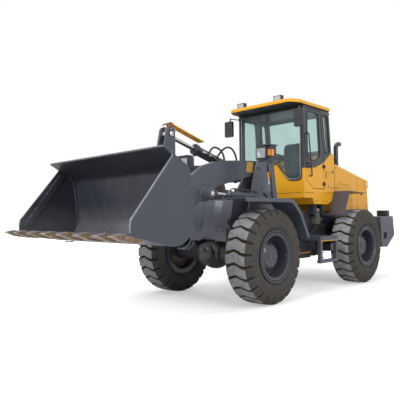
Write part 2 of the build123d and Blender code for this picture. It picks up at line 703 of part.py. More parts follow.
def hydraulics():
    """Writes the tilt, lift and steering cylinders, each as a barrel and a rod."""
    a_y, a_z = BOOM_PIVOT_Y, BOOM_PIVOT_Z
    span = math.hypot(ROCKER_TOP_Y - a_y, ROCKER_TOP_Z - a_z)
    length = span - TILT_GLAND_FROM_EYE
    line = (a_y, a_z, ROCKER_TOP_Y, ROCKER_TOP_Z)
    save(
        cylinder_barrel(*line, 80, TILT_BARREL_RADIUS, TILT_ROD_RADIUS + RUNNING_FIT, length, TILT_EYE_WIDTH, 0, PIN_RADIUS),
        "tilt_cylinder_barrel",
    )
    width = ROCKER_GAP - 2 * PIN_SIDE_GAP
    save(cylinder_rod(*line, 62, TILT_ROD_RADIUS, length - 200, width, 0), "tilt_cylinder_rod")
    for side, name in ((1, "left"), (-1, "right")):
        line = (LIFT_BASE_Y, LIFT_BASE_Z, LIFT_PIN_Y, LIFT_PIN_Z)
        size = (62, LIFT_BARREL_RADIUS, LIFT_ROD_RADIUS + RUNNING_FIT, LIFT_BARREL_LENGTH, 70)
        save(cylinder_barrel(*line, *size, side * LIFT_X, 30), f"lift_cylinder_barrel_{name}")
        save(cylinder_rod(*line, 62, LIFT_ROD_RADIUS, 480, 70, side * LIFT_X), f"lift_cylinder_rod_{name}")
    for side, name in ((1, "left"), (-1, "right")):
        steering(side, name)


def steering(side, name):
    """Writes one steering cylinder, which lies flat between the two frames."""
    base = (side * STEER_BASE_X, STEER_BASE_Y, STEER_Z)
    eye = (side * STEER_EYE_X, STEER_EYE_Y, STEER_Z)
    aim = Vector(eye) - Vector(base)
    plane = Plane(origin=base, z_dir=tuple(aim))
    reach = aim.length
    barrel = extrude(plane.offset(60) * Circle(STEER_BARREL_RADIUS), STEER_BARREL_LENGTH - 60)
    barrel += extrude(plane.offset(25) * Circle(28), 60)
    barrel += Pos(*base) * Cylinder(45, 60)
    barrel -= extrude(plane.offset(85) * Circle(STEER_ROD_RADIUS + RUNNING_FIT), STEER_BARREL_LENGTH)
    barrel -= Pos(*base) * Cylinder(22 + RUNNING_FIT, 62)
    save(barrel, f"steering_cylinder_barrel_{name}")
    start = reach - STEER_ROD_LENGTH
    piece = extrude(plane.offset(start) * Circle(STEER_ROD_RADIUS), STEER_ROD_LENGTH - 20)
    piece += Pos(*eye) * Cylinder(38, 60)
    save(piece, f"steering_cylinder_rod_{name}")


def rear_frame():
    """The rear frame: two side plates, cross walls, the hinge tongues and a deck under the hood."""
    x0, x1 = REAR_PLATE_X, REAR_PLATE_X + REAR_PLATE
    side = [
        (195, REAR_TOP_Z),
        (2345, REAR_TOP_Z),
        (2370, 1240),
        (2560, 1240),
        (2560, 900),
        (1860, 900),
        (1800, AXLE_Z + 165 + SEAT_GAP),
        (1090, AXLE_Z + 165 + SEAT_GAP),
        (1000, REAR_LOW_Z),
        (560, 760),
        (480, 500),
        (60, 500),
        (60, 900),
        (150, 1000),
    ]
    frame = both(lambda: slab(side, x0, x1, 15))
    frame += box(-x0, x0, 330, 360, 500, REAR_TOP_Z)
    frame += box(-x0, x0, 2100, 2130, 900, REAR_TOP_Z)
    frame += box(-x0, x0, 820, 850, 880, 1040)
    frame += box(-x0, x0, 1300, 1360, 950, 1010)
    frame += box(-x0, x0, 1950, 2010, 950, 1010)
    frame += box(-x0, x0, 2129, 2340, REAR_TOP_Z - 20, REAR_TOP_Z)
    lug_foot = 1200
    lug = ((HOOD_HINGE_Y, HOOD_HINGE_Z, 30), (HOOD_HINGE_Y - 40, lug_foot, 30), (HOOD_HINGE_Y + 50, lug_foot, 30))
    frame += both(lambda: hull(lug, x0, x1))
    frame += both(lambda: rod(HOOD_HINGE_Y, HOOD_HINGE_Z, HOOD_PIN_RADIUS, x1 - 1, x1 + HOOD_PIN_LENGTH))
    for y in (420, 690):
        frame += both(lambda: box(x1 - 1, 640, y, y + 100, REAR_TOP_Z - 60, CAB_BELLY_Z - SEAT_GAP))
    for z in (HINGE_LOW_Z, HINGE_HIGH_Z):
        level = z - TONGUE / 2
        arm = Polyline((-104, 30), (-230, 335), (230, 335), (104, 30), close=True)
        tongue = extrude(Pos(0, 0, level) * Circle(HINGE_RADIUS), TONGUE)
        tongue += extrude(Pos(0, 0, level) * make_face(arm), TONGUE)
        tongue -= Pos(0, 0, z) * Cylinder(HINGE_PIN_RADIUS + RUNNING_FIT, TONGUE + 2)
        frame += tongue
    for sign in (-1, 1):
        x = sign * STEER_BASE_X
        frame -= box(x - STEER_WINDOW, x + STEER_WINDOW, 325, 365, STEER_Z - 75, STEER_Z + 75)
        for z in (STEER_Z - 60.5, STEER_Z + 30.5):
            low, high = sorted((x - sign * 50, sign * x0))
            frame += box(low, high, STEER_BASE_Y - 50, STEER_BASE_Y + 50, z, z + 30)
        frame += Pos(x, STEER_BASE_Y, STEER_Z) * Cylinder(22, 140)
    return frame


def counterweight():
    """The cast weight across the rear, chamfered below, with a slot in each cheek."""
    outline = [
        (WEIGHT_FRONT_Y, WEIGHT_TOP_Z),
        (2730, WEIGHT_TOP_Z),
        (WEIGHT_REAR_Y, 830),
        (2430, WEIGHT_LOW_Z),
        (2180, WEIGHT_LOW_Z + 10),
        (WEIGHT_FRONT_Y, 760),
    ]
    part = slab(outline, -WEIGHT_HALF, WEIGHT_HALF, 25)
    room = REAR_PLATE_X + REAR_PLATE + SEAT_GAP
    part -= box(-room, room, WEIGHT_FRONT_Y - 1, 2560 + SEAT_GAP, 900 - SEAT_GAP, WEIGHT_TOP_Z + 1)
    part -= both(lambda: box(WEIGHT_HALF - 60, WEIGHT_HALF + 1, 2270, 2420, 770, 890))
    # towing jaw with its upright bore
    part -= box(-100, 100, HITCH_Y - 105, WEIGHT_REAR_Y + 1, HITCH_JAW_LOW_Z, HITCH_JAW_HIGH_Z)
    part -= Pos(0, HITCH_Y, (WEIGHT_LOW_Z + WEIGHT_TOP_Z) / 2) * Cylinder(HITCH_RADIUS, WEIGHT_TOP_Z - WEIGHT_LOW_Z)
    part -= Pos(0, HITCH_Y, HITCH_LOW_Z - 100) * Cylinder(2.2 * HITCH_RADIUS, 200)
    part -= Pos(0, HITCH_Y, HITCH_HIGH_Z + 100) * Cylinder(2.2 * HITCH_RADIUS, 200)
    return part


def across(outline, y_low, y_high, radius=0.0, grow=0.0):
    """A plate with a front outline of (X, Z) points, from one Y to another."""
    plane = Plane(origin=(0, y_high, 0), x_dir=(1, 0, 0), z_dir=(0, -1, 0))
    return extrude(plane * panel(outline, radius, grow), y_high - y_low)


def windscreen():
    """The windscreen's outline (X, Z), with its two low corners for a view of the front wheels."""
    wide = CAB_HALF - CAB_WALL
    low = CAB_SILL_Z - 200
    half = [(150, CAB_SILL_Z + 115), (390, low), (wide, low), (wide, CAB_ROOF_Z - 50)]
    return half + [(-x, z) for x, z in half[::-1]]


def door_outline():
    """The door's side outline (Y, Z), cut away at its low front corner."""
    return [
        (DOOR_FRONT_Y, CAB_SILL_Z - 185),
        (330, DOOR_LOW_Z),
        (DOOR_HINGE_Y, DOOR_LOW_Z),
        (DOOR_HINGE_Y, 2250),
        (590, DOOR_TOP_Z),
        (DOOR_FRONT_Y, DOOR_TOP_Z),
    ]


def door_window():
    """The door's glass outline (Y, Z)."""
    return [(155, 2250), (380, 2185), (580, 2285), (525, DOOR_TOP_Z - 45), (155, DOOR_TOP_Z - 45)]


def quarter_window():
    """The outline (Y, Z) of the side window behind the door."""
    return [(765, 2330), (915, 2400), (850, DOOR_TOP_Z - 45), (665, DOOR_TOP_Z - 45)]


def sill_line():
    """The line (Y, Z) where the dark cab frame stands on the painted lower body."""
    return [(CAB_FRONT_Y, CAB_SILL_Z), (400, 2085), (700, 2190), (CAB_REAR_Y + 15, 2378)]


def cab_room():
    """The room inside the cab, through its frame and its lower body."""
    front = CAB_FRONT_Y + CAB_WALL
    rear = CAB_REAR_Y + 15 - CAB_WALL
    outline = [
        (front, CAB_FLOOR_Z + 60),
        (front, CAB_ROOF_Z - 40),
        (rear - 75, CAB_ROOF_Z - 40),
        (rear, 2378),
        (rear + 60, 2225),
        (rear + 60, CAB_FLOOR_Z + 60),
    ]
    return slab(outline, -CAB_HALF + CAB_WALL, CAB_HALF - CAB_WALL)


def rear_glass_y(z):
    """The outer Y of the cab's leaning rear wall at this height."""
    return CAB_REAR_Y - 60 + (CAB_ROOF_Z - z) * 75 / (CAB_ROOF_Z - 2378)


def cab_openings():
    """The windows and door openings, cut from the frame and from the lower body."""
    front = across(windscreen(), CAB_FRONT_Y - 1, CAB_FRONT_Y + CAB_WALL + 1, 30)
    wide = CAB_HALF - 80
    rear = box(-wide, wide, CAB_REAR_Y - 200, CAB_REAR_Y + 60, 2430, CAB_ROOF_Z - 80)
    side = slab(quarter_window(), -CAB_HALF - 1, CAB_HALF + 1, 25)
    doors = slab(door_outline(), -CAB_HALF - 1, CAB_HALF + 1, 0, MOVING_GAP)
    return front + rear + side + doors


def door_hinge(z):
    """A hinge's fixed half on the left post: two lugs, their pin and the straps behind."""
    x, y = CAB_HALF + 14, DOOR_HINGE_Y + MOVING_GAP / 2
    part = Pos(x, y, z) * Cylinder(8, 110)
    for level in (z - 55, z + 30.5):
        part += Pos(x, y, level + 12) * Cylinder(14, 24)
        part += box(CAB_HALF - 1, CAB_HALF + 8, y + 4, y + 50, level, level + 24)
    return part


def cab_frame():
    """The cab's upper shell of posts and rails, with its window openings."""
    outline = [(CAB_FRONT_Y, CAB_ROOF_Z), (CAB_REAR_Y - 60, CAB_ROOF_Z)]
    shell = slab(sill_line()[::-1] + outline, -CAB_HALF, CAB_HALF)
    shell = shell - cab_room() - cab_openings()
    return shell - across(hump(), CAB_FRONT_Y - 1, CAB_FRONT_Y + CAB_WALL + 1, 0, SEAT_GAP)


def cab_base():
    """The painted lower body of the cab: floor, cheeks, rear wall and the hump below the windscreen."""
    outline = [
        (CAB_FRONT_Y, CAB_FLOOR_Z),
        *[(y, z - SEAT_GAP) for y, z in sill_line()],
        (HOOD_FRONT_Y - 40, 2378 - SEAT_GAP),
        (HOOD_FRONT_Y - 8, 2225),
        (HOOD_FRONT_Y - 8, CAB_FLOOR_Z),
        (810, CAB_BELLY_Z),
        (355, CAB_BELLY_Z),
        (300, CAB_FLOOR_Z),
    ]
    body = slab(outline, -CAB_HALF, CAB_HALF)
    body += across(hump(), CAB_FRONT_Y, CAB_FRONT_Y + CAB_WALL)
    body = body - cab_room() - cab_openings()
    for z in DOOR_HINGES_Z:
        body += both(lambda: door_hinge(z))
    return body


def hump():
    """The outline (X, Z) of the painted panel's middle, which rises between the low corners of the windscreen."""
    tip, low_corner = windscreen()[0], windscreen()[1]
    low = CAB_SILL_Z - 10
    wide = tip[0] + (low_corner[0] - tip[0]) * (tip[1] - low) / (tip[1] - low_corner[1])
    return [(-wide, low), (wide, low), tip, (-tip[0], tip[1])]


def cab_glass():
    """The fixed panes: windscreen, rear window and the two quarter windows."""
    pane_y = CAB_FRONT_Y + 20
    part = across(windscreen(), pane_y, pane_y + GLASS, 30, -SEAT_GAP)
    wide = CAB_HALF - 80 - SEAT_GAP
    low, high = 2430 + SEAT_GAP, CAB_ROOF_Z - 80 - SEAT_GAP
    rear = [(rear_glass_y(z) - depth, z) for z, depth in ((low, 30), (low, 22), (high, 22), (high, 30))]
    part += slab(rear, -wide, wide)
    part += both(lambda: slab(quarter_window(), CAB_HALF - 30, CAB_HALF - 30 + GLASS, 25, -SEAT_GAP))
    return part


def cab_door(side):
    """A door with its window opening and its two hinge knuckles."""
    door = slab(door_outline(), CAB_HALF - 44, CAB_HALF - 4)
    door -= slab(door_window(), CAB_HALF - 45, CAB_HALF, 40)
    rail_x = CAB_HALF + RAIL_REACH
    high, low = (DOOR_FRONT_Y + 28, 2650), (DOOR_FRONT_Y + 120, 1920)
    door += tube([(CAB_HALF - 10, *high), (rail_x, *high), (rail_x, *low), (CAB_HALF - 10, *low)], RAIL_RADIUS)
    x, y = CAB_HALF + 14, DOOR_HINGE_Y + MOVING_GAP / 2
    for z in DOOR_HINGES_Z:
        door += Pos(x, y, z) * Cylinder(14, 60)
        door += box(CAB_HALF - 5, CAB_HALF + 6, y - 60, y - 3, z - 30, z + 30)
        door += box(CAB_HALF - 5, CAB_HALF + 12, y - 24, y - 8, z - 30, z + 30)
        door -= Pos(x, y, z) * Cylinder(8 + RUNNING_FIT, 62)
    return door if side > 0 else mirror(door, Plane.YZ)


def door_glass(side):
    """The pane in a door."""
    pane = slab(door_window(), CAB_HALF - 28, CAB_HALF - 28 + GLASS, 40, -SEAT_GAP)
    return pane if side > 0 else mirror(pane, Plane.YZ)


def cab_roof():
    """The roof cap: a visor that tapers forward of the windscreen, with rounded upper edges."""
    wide = CAB_HALF + ROOF_REACH
    half = [(wide, CAB_REAR_Y - 60), (wide, CAB_FRONT_Y - 140), (wide - 90, ROOF_FRONT_Y)]
    outline = half + [(-x, y) for x, y in half[::-1]]
    z0 = CAB_ROOF_Z + SEAT_GAP
    cap = extrude(Pos(0, 0, z0) * make_face(Polyline(*outline, close=True)), ROOF_THICKNESS - SEAT_GAP)
    cap = fillet(cap.edges().filter_by(Axis.Z).group_by(Axis.Y)[0], 60)
    return fillet(cap.edges().group_by(Axis.Z)[-1], 30)


def seat():
    """The driver's seat on its pedestal."""
    floor = CAB_FLOOR_Z + 60 + SEAT_GAP
    part = box(-160, 160, 520, 800, floor, floor + 330)
    part += box(-250, 250, 420, 900, floor + 330, floor + 460)
    back = [(800, floor + 460), (880, floor + 460), (915, floor + 1000), (850, floor + 1010)]
    return part + slab(back, -235, 235, 20)


def steering_column():
    """The dashboard pillar with the steering wheel."""
    floor = CAB_FLOOR_Z + 60 + SEAT_GAP
    part = slab([(90, floor), (230, floor), (230, floor + 420), (110, floor + 560)], -170, 170)
    tilt = Pos(0, 300, floor + 640) * Rot(X=-35)
    part += tilt * revolve(Plane.XZ * Pos(185, 0) * RegularPolygon(16, 6), Axis.Z)
    part += tilt * Box(360, 30, 20)
    part += tilt * Pos(0, 0, -100) * Cylinder(35, 220)
    return part


def hood():
    """The engine cover: sides, sloping top and front wall, open below and at the rear, hinged low at the rear."""
    outline = [
        (HOOD_FRONT_Y, HOOD_LOW_Z),
        (HOOD_FRONT_Y, HOOD_TOP_FRONT_Z),
        (HOOD_REAR_Y, HOOD_TOP_REAR_Z),
        (HOOD_REAR_Y + HOOD_LEAN, HOOD_LOW_Z),
    ]
    wall = HOOD_WALL
    shell = slab(outline, -HOOD_HALF, HOOD_HALF)
    top_face = shell.faces().sort_by(Axis.Z)[-1]
    shell = fillet([edge for edge in top_face.edges() if abs(edge.center().X) > 1], HOOD_ROUND)
    shell += Pos(STACK_X, STACK_Y, STACK_SEAT_Z - 60) * Cylinder(STACK_RADIUS + 18, 120)
    room = [
        (HOOD_FRONT_Y + wall, HOOD_LOW_Z - 1),
        (HOOD_FRONT_Y + wall, HOOD_TOP_FRONT_Z - wall),
        (HOOD_REAR_Y + 100, HOOD_TOP_REAR_Z - wall - 18),
        (HOOD_REAR_Y + 100, HOOD_LOW_Z - 1),
    ]
    shell -= slab(room, -HOOD_HALF + wall, HOOD_HALF - wall)
    grip_x, grip_y = HOOD_HALF + RAIL_REACH, HOOD_REAR_Y - 45
    grip = [(HOOD_HALF - 5, grip_y, 1780), (grip_x, grip_y, 1780), (grip_x, grip_y, 1930), (HOOD_HALF - 5, grip_y, 1930)]
    shell += both(lambda: tube(grip, RAIL_RADIUS))
    x0 = REAR_PLATE_X + REAR_PLATE + PIN_SIDE_GAP
    shell += both(lambda: rod(HOOD_HINGE_Y, HOOD_HINGE_Z, 28, x0, HOOD_HALF - wall + 1))
    bore = HOOD_PIN_RADIUS + RUNNING_FIT
    shell -= both(lambda: rod(HOOD_HINGE_Y, HOOD_HINGE_Z, bore, x0 - 1, x0 + HOOD_PIN_LENGTH + 3))
    top = GRILLE_LOW + GRILLE_HEIGHT
    depth = -GRILLE_THICKNESS / 2
    for low, pin in ((GRILLE_LOW - MOVING_GAP - 20, GRILLE_LOW), (top + MOVING_GAP, top)):
        bracket = Pos(-HOOD_HALF + 35, low + 10, depth) * Box(50, 20, GRILLE_THICKNESS)
        bracket += Pos(-grille_hinge(), pin, depth) * Rot(X=-90) * Cylinder(GRILLE_PIN_RADIUS, 50)
        shell += grille_plane() * bracket
    return shell


def grille_plane():
    """The plane of the hood's leaning rear opening: X to the right, Y up the slope, Z out to the rear."""
    out = (0, HOOD_TOP_REAR_Z - HOOD_LOW_Z, HOOD_LEAN)
    return Plane(origin=(0, HOOD_REAR_Y + HOOD_LEAN, HOOD_LOW_Z), x_dir=(-1, 0, 0), z_dir=out)


def grille_hinge():
    """The X of the grille's hinge line, beside the hood's left wall."""
    return HOOD_HALF - HOOD_WALL - MOVING_GAP - GRILLE_KNUCKLE


def radiator_grille():
    """The slatted rear door of the hood, on two pins at its left edge."""
    wide = HOOD_HALF - HOOD_WALL - MOVING_GAP
    hinge = grille_hinge()
    middle = GRILLE_LOW + GRILLE_HEIGHT / 2
    depth = -GRILLE_THICKNESS / 2
    part = Pos((wide - hinge) / 2, middle, depth) * Box(wide + hinge, GRILLE_HEIGHT, GRILLE_THICKNESS)
    part += Pos(-hinge, middle, depth) * Rot(X=-90) * Cylinder(GRILLE_KNUCKLE, GRILLE_HEIGHT)
    slot = 30
    count = 8
    pitch = (GRILLE_HEIGHT - 90) / count
    for row in range(count):
        part -= Pos(0, GRILLE_LOW + 45 + pitch * (row + 0.5), depth) * Box(2 * wide - 160, slot, GRILLE_THICKNESS + 2)
    bore = GRILLE_PIN_RADIUS + RUNNING_FIT
    part -= Pos(-hinge, middle, depth) * Rot(X=-90) * Cylinder(bore, GRILLE_HEIGHT + 2)
    return grille_plane() * part


def exhaust():
    """The exhaust stack on the hood, a pipe that bends back to its mouth."""
    foot, top = STACK_SEAT_Z + SEAT_GAP, STACK_TOP_Z - STACK_RADIUS
    points = [(STACK_X, STACK_Y, foot), (STACK_X, STACK_Y, top), (STACK_X, STACK_Y + 150, top + 20)]
    wall = Circle(STACK_RADIUS) - Circle(STACK_RADIUS - 5)
    return sweep(Pos(*points[0]) * wall, FilletPolyline(*points, radius=100))


def rod_guard():
    """The bent plate that shades the tilt cylinder's rod, on a rib over the rod's eye."""
    slope = math.atan2(ROCKER_TOP_Z - BOOM_PIVOT_Z, BOOM_PIVOT_Y - ROCKER_TOP_Y)

    def above(along, up):
        y = ROCKER_TOP_Y + along * math.cos(slope) + up * math.sin(slope)
        return (y, ROCKER_TOP_Z - along * math.sin(slope) + up * math.cos(slope))

    path = [above(-70, GUARD_RISE - 40), above(-30, GUARD_RISE), above(GUARD_LENGTH - 30, GUARD_RISE)]
    part = slab(path + beside(path, -GUARD_PLATE)[::-1], -60, 60)
    rib = [above(-40, 50), above(-25, GUARD_RISE + 1), above(160, GUARD_RISE + 1), above(45, 30)]
    part += slab(rib, -20, 20) - rod(ROCKER_TOP_Y, ROCKER_TOP_Z, 62 + SEAT_GAP, -21, 21)
    return part


def engine():
    """The engine as one plain block at its real place."""
    return box(-300, 300, 1260, 2090, 1010 + SEAT_GAP, 1850)


def radiator():
    """The radiator core behind the grille."""
    return box(-430, 430, 2180, 2300, REAR_TOP_Z + SEAT_GAP, 1880)


def step():
    """A platform on the left with a step hung below it on two rails."""
    low = REAR_PLATE_X + REAR_PLATE + SEAT_GAP
    shape = Polyline((low, 100), (800, -130), (1080, -130), (1080, 440), (low, 440), close=True)
    part = extrude(Pos(0, 0, 830) * make_face(shape), 70)
    for y in (-130, 380):
        part += box(1020, 1080, y, y + 60, 500, 830)
    return part + box(1010, 1080, -130, 440, 470, 520)


def rear_fender():
    """An angled guard in front of and above the left rear tyre, on a bracket from the frame."""
    line = [(830, 1250), (1040, 1680), (1640, 1660)]
    x0 = HOOD_HALF + MOVING_GAP
    part = slab(line + beside(line, 14)[::-1], x0, 1010)
    return part + box(REAR_PLATE_X + REAR_PLATE + SEAT_GAP, x0 + 40, 835, 905, 1230, 1290)


def mirrors():
    """The two rear view mirrors, each on a bent arm at a front post."""
    post = (CAB_HALF - 30, CAB_FRONT_Y - 12, 3060)
    bend = (CAB_HALF + 45, -170, 3060)
    arm = box(post[0] - 25, post[0] + 25, post[1] - 5, CAB_FRONT_Y - SEAT_GAP, post[2] - 30, post[2] + 30)
    way = Vector(bend) - Vector(post)
    arm += extrude(Plane(origin=post, z_dir=tuple(way)) * Circle(9), way.length)
    arm += Pos(bend[0], bend[1], 2965) * Cylinder(12, 220)
    glass = box(CAB_HALF - 30, CAB_HALF + 150, -215, -165, 2720, 3010)
    arm += fillet(glass.edges().filter_by(Axis.Y), 25)
    return arm + mirror(arm, Plane.YZ)


def work_lamp(x):
    """A square work lamp on the roof's front edge."""
    top = CAB_ROOF_Z + ROOF_THICKNESS + SEAT_GAP
    part = box(x - 20, x + 20, -40, 0, top, top + 25)
    return part + box(x - 80, x + 80, -75, 5, top + 20, top + 140)


def tail_lamp(side):
    """A boxed rear lamp on the counterweight's top, near its end."""
    inner, outer = sorted((side * (WEIGHT_HALF - 250), side * (WEIGHT_HALF - 40)))
    top = WEIGHT_TOP_Z + SEAT_GAP
    shell = box(inner, outer, WEIGHT_REAR_Y - 260, WEIGHT_REAR_Y - 150, top, top + 115)
    return fillet(shell.edges().filter_by(Axis.Y), 15)


def valve_block():
    """The brake valve block with its accumulators on the left frame plate."""
    x0 = REAR_PLATE_X + REAR_PLATE + SEAT_GAP
    part = box(x0, x0 + 90, 535, 675, 1090, 1230)
    for y in (570, 640):
        part += Pos(x0 + 55, y, 1275) * Cylinder(38, 100)
    return part


def main():
    """Builds and writes every piece."""
    os.makedirs("parts", exist_ok=True)
    wheel_and_axles()
    hydraulics()
    for side, name in ((1, "left"), (-1, "right")):
        save(cab_door(side), f"cab_door_{name}")
        save(door_glass(side), f"door_glass_{name}")
    pieces = {
        "front_frame": front_frame(),
        "front_fenders": front_fender(1) + front_fender(-1),
        "headlamps": lamp_stand(1) + lamp_stand(-1),
        "boom": boom(),
        "rocker": rocker(),
        "bucket_link": link(),
        "bucket": bucket(),
        "cutting_edge": cutting_edge(),
        "rear_frame": rear_frame(),
        "counterweight": counterweight(),
        "steps": both(step),
        "rear_fenders": both(rear_fender),
        "cab_frame": cab_frame(),
        "cab_base": cab_base(),
        "cab_glass": cab_glass(),
        "cab_roof": cab_roof(),
        "seat": seat(),
        "steering_column": steering_column(),
        "mirrors": mirrors(),
        "work_lamps": work_lamp(-570) + work_lamp(250) + tail_lamp(1) + tail_lamp(-1),
        "hood": hood(),
        "radiator_grille": radiator_grille(),
        "exhaust_stack": exhaust(),
        "rod_guard": rod_guard(),
        "engine_block": engine(),
        "radiator": radiator(),
        "valve_block": valve_block(),
    }
    for name, piece in pieces.items():
        save(piece, name)


main()
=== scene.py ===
import math

import bmesh
import bpy
from mathutils import Matrix, Vector


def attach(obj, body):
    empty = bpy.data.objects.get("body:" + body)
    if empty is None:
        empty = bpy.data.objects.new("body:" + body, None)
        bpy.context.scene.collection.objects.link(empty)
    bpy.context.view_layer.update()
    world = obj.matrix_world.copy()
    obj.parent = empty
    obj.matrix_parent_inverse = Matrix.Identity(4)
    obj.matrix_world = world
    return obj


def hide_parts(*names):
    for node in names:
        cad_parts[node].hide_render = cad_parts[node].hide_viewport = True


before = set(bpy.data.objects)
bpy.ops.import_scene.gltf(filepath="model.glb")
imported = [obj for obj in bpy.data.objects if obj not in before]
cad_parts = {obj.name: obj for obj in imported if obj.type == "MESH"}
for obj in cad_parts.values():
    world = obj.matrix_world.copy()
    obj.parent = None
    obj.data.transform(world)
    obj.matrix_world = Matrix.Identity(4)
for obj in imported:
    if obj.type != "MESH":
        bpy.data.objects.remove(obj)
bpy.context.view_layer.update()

# The photo's camera, solved from the wheels, the bucket and the cab
CAMERA_PLACE = Vector((4.958, -6.2211, 1.258))
CAMERA_YAW = math.radians(43.901)
CAMERA_PITCH = math.radians(1.881)
CAMERA_ROLL = math.radians(-0.543)
CAMERA_LENS = 42.53
SENSOR = 36.0

# The Y of the articulation pins in the frame, in metres
PINS_Y = 0.7199

# Sizes in millimetres, measured from the articulation pins
TYRE_RADIUS = 675
AXLE_Y = 1440
AXLE_Z = TYRE_RADIUS
HALF_TREAD = 929.5
TYRE_HALF = 222.5
LUGS = 24
CAB_HALF = 700
ARM_FACE = 500
BUCKET_HALF = 1208
LINE_RADIUS = 3.4
REAR_LEAN = 75 / 762

# The Y and Z of the pins that the boom, rocker, bucket and cylinders turn on
BOOM_PIN = (-980, 1990)
BUCKET_PIN = (-2982, 1140)
LINK_PIN = (-2640, 1143)
TILT_EYE = (-2450, 2410)
LIFT_X = 620
LIFT_BASE = (-800, 1500)
LIFT_EYE = (-2220, 1560)
TILT_SLOPE = math.atan2(TILT_EYE[1] - BOOM_PIN[1], BOOM_PIN[0] - TILT_EYE[0])

# A groove's half width in the tyre's middle, its flare and where that ends
GROOVE_HALF = 17
GROOVE_FLARE = 12
FLARE_END = 200
# Radii where the lug tops and the shoulder end, and of the dusty ring on the wall
LUG_TOP_RADIUS = 666
SHOULDER_RADIUS = 540
RING_LINE = (455, 464)

# The machine's left and right
SIDES = (1, -1)


def camera():
    """The camera at the photo's viewing angle."""
    level = math.cos(CAMERA_PITCH)
    forward = Vector((-math.sin(CAMERA_YAW) * level, math.cos(CAMERA_YAW) * level, math.sin(CAMERA_PITCH)))
    right = Vector((math.cos(CAMERA_YAW), math.sin(CAMERA_YAW), 0))
    up = right.cross(forward)
    turned_right = right * math.cos(CAMERA_ROLL) + up * math.sin(CAMERA_ROLL)
    turned_up = up * math.cos(CAMERA_ROLL) - right * math.sin(CAMERA_ROLL)
    data = bpy.data.cameras.new("camera")
    data.sensor_width = SENSOR
    data.lens = CAMERA_LENS
    data.clip_end = 200
    body = bpy.data.objects.new("camera", data)
    turn = Matrix((turned_right, turned_up, -forward)).transposed().to_4x4()
    body.matrix_world = Matrix.Translation(CAMERA_PLACE) @ turn
    bpy.context.scene.collection.objects.link(body)
    bpy.context.scene.camera = body


class Shader:
    """A small helper that builds a material's nodes."""

    def __init__(self, name):
        self.material = bpy.data.materials.new(name)
        self.material.use_nodes = True
        self.tree = self.material.node_tree
        self.bsdf = self.tree.nodes["Principled BSDF"]
        self.coords = self.add("ShaderNodeTexCoord")
        self.place = self.coords.outputs["Object"]

    def add(self, kind, **values):
        node = self.tree.nodes.new(kind)
        for key, value in values.items():
            setattr(node, key, value)
        return node

    def link(self, a, b):
        self.tree.links.new(a, b)

    def set(self, **values):
        for key, value in values.items():
            self.bsdf.inputs[key.replace("_", " ")].default_value = value

    def noise(self, scale, detail=4.0, rough=0.55, place=None):
        node = self.add("ShaderNodeTexNoise")
        node.inputs["Scale"].default_value = scale
        node.inputs["Detail"].default_value = detail
        node.inputs["Roughness"].default_value = rough
        self.link(place or self.place, node.inputs["Vector"])
        return node.outputs["Fac"]

    def stretch(self, x, y, z):
        node = self.add("ShaderNodeMapping")
        node.inputs["Scale"].default_value = (x, y, z)
        self.link(self.place, node.inputs["Vector"])
        return node.outputs["Vector"]

    def ramp(self, value, low, high, a=0.0, b=1.0):
        node = self.add("ShaderNodeMapRange")
        node.inputs["From Min"].default_value = low
        node.inputs["From Max"].default_value = high
        node.inputs["To Min"].default_value = a
        node.inputs["To Max"].default_value = b
        self.link(value, node.inputs["Value"])
        return node.outputs["Result"]

    def math(self, operation, a, b=None):
        node = self.add("ShaderNodeMath", operation=operation)
        for slot, value in ((0, a), (1, b)):
            if value is None:
                continue
            if isinstance(value, (int, float)):
                node.inputs[slot].default_value = value
            else:
                self.link(value, node.inputs[slot])
        return node.outputs[0]

    def times(self, a, b):
        return self.math("MULTIPLY", a, b)

    def plus(self, a, b):
        return self.math("ADD", a, b)

    def mix(self, factor, a, b):
        node = self.add("ShaderNodeMix", data_type="RGBA")
        for key, value in (("Factor", factor), ("A", a), ("B", b)):
            slot = next(s for s in node.inputs if s.name == key and s.enabled)
            if isinstance(value, (int, float, tuple)):
                slot.default_value = value
            else:
                self.link(value, slot)
        return next(s for s in node.outputs if s.enabled)

    def colour(self, value):
        self.link(value, self.bsdf.inputs["Base Color"])

    def rough(self, value):
        self.link(value, self.bsdf.inputs["Roughness"])

    def bump(self, height, strength, distance, round_edges=0.0):
        node = self.add("ShaderNodeBump")
        node.inputs["Strength"].default_value = strength
        node.inputs["Distance"].default_value = distance
        self.link(height, node.inputs["Height"])
        if round_edges:
            bevel = self.add("ShaderNodeBevel", samples=4)
            bevel.inputs["Radius"].default_value = round_edges
            self.link(bevel.outputs[0], node.inputs["Normal"])
        self.link(node.outputs["Normal"], self.bsdf.inputs["Normal"])

    def part(self, vector, axis):
        node = self.add("ShaderNodeSeparateXYZ")
        self.link(vector, node.inputs[0])
        return node.outputs[axis]

    def attribute(self, name):
        return self.add("ShaderNodeAttribute", attribute_name=name).outputs["Fac"]

    def up(self):
        """How far a face looks up, from 0 to 1."""
        normal = self.add("ShaderNodeNewGeometry").outputs["Normal"]
        return self.ramp(self.part(normal, "Z"), 0.2, 0.95)

    def height(self):
        return self.part(self.place, "Z")

    def edges(self, radius=0.006):
        """1 along sharp outer edges, from the bevel node's normal."""
        bevel = self.add("ShaderNodeBevel", samples=4)
        bevel.inputs["Radius"].default_value = radius
        plain = self.add("ShaderNodeNewGeometry").outputs["Normal"]
        dot = self.add("ShaderNodeVectorMath", operation="DOT_PRODUCT")
        self.link(bevel.outputs[0], dot.inputs[0])
        self.link(plain, dot.inputs[1])
        return self.ramp(dot.outputs["Value"], 0.999, 0.90)


def rgba(r, g, b):
    return (r, g, b, 1.0)


def scaled(colour, factor):
    """A colour made darker or paler."""
    return rgba(*[part * factor for part in colour])


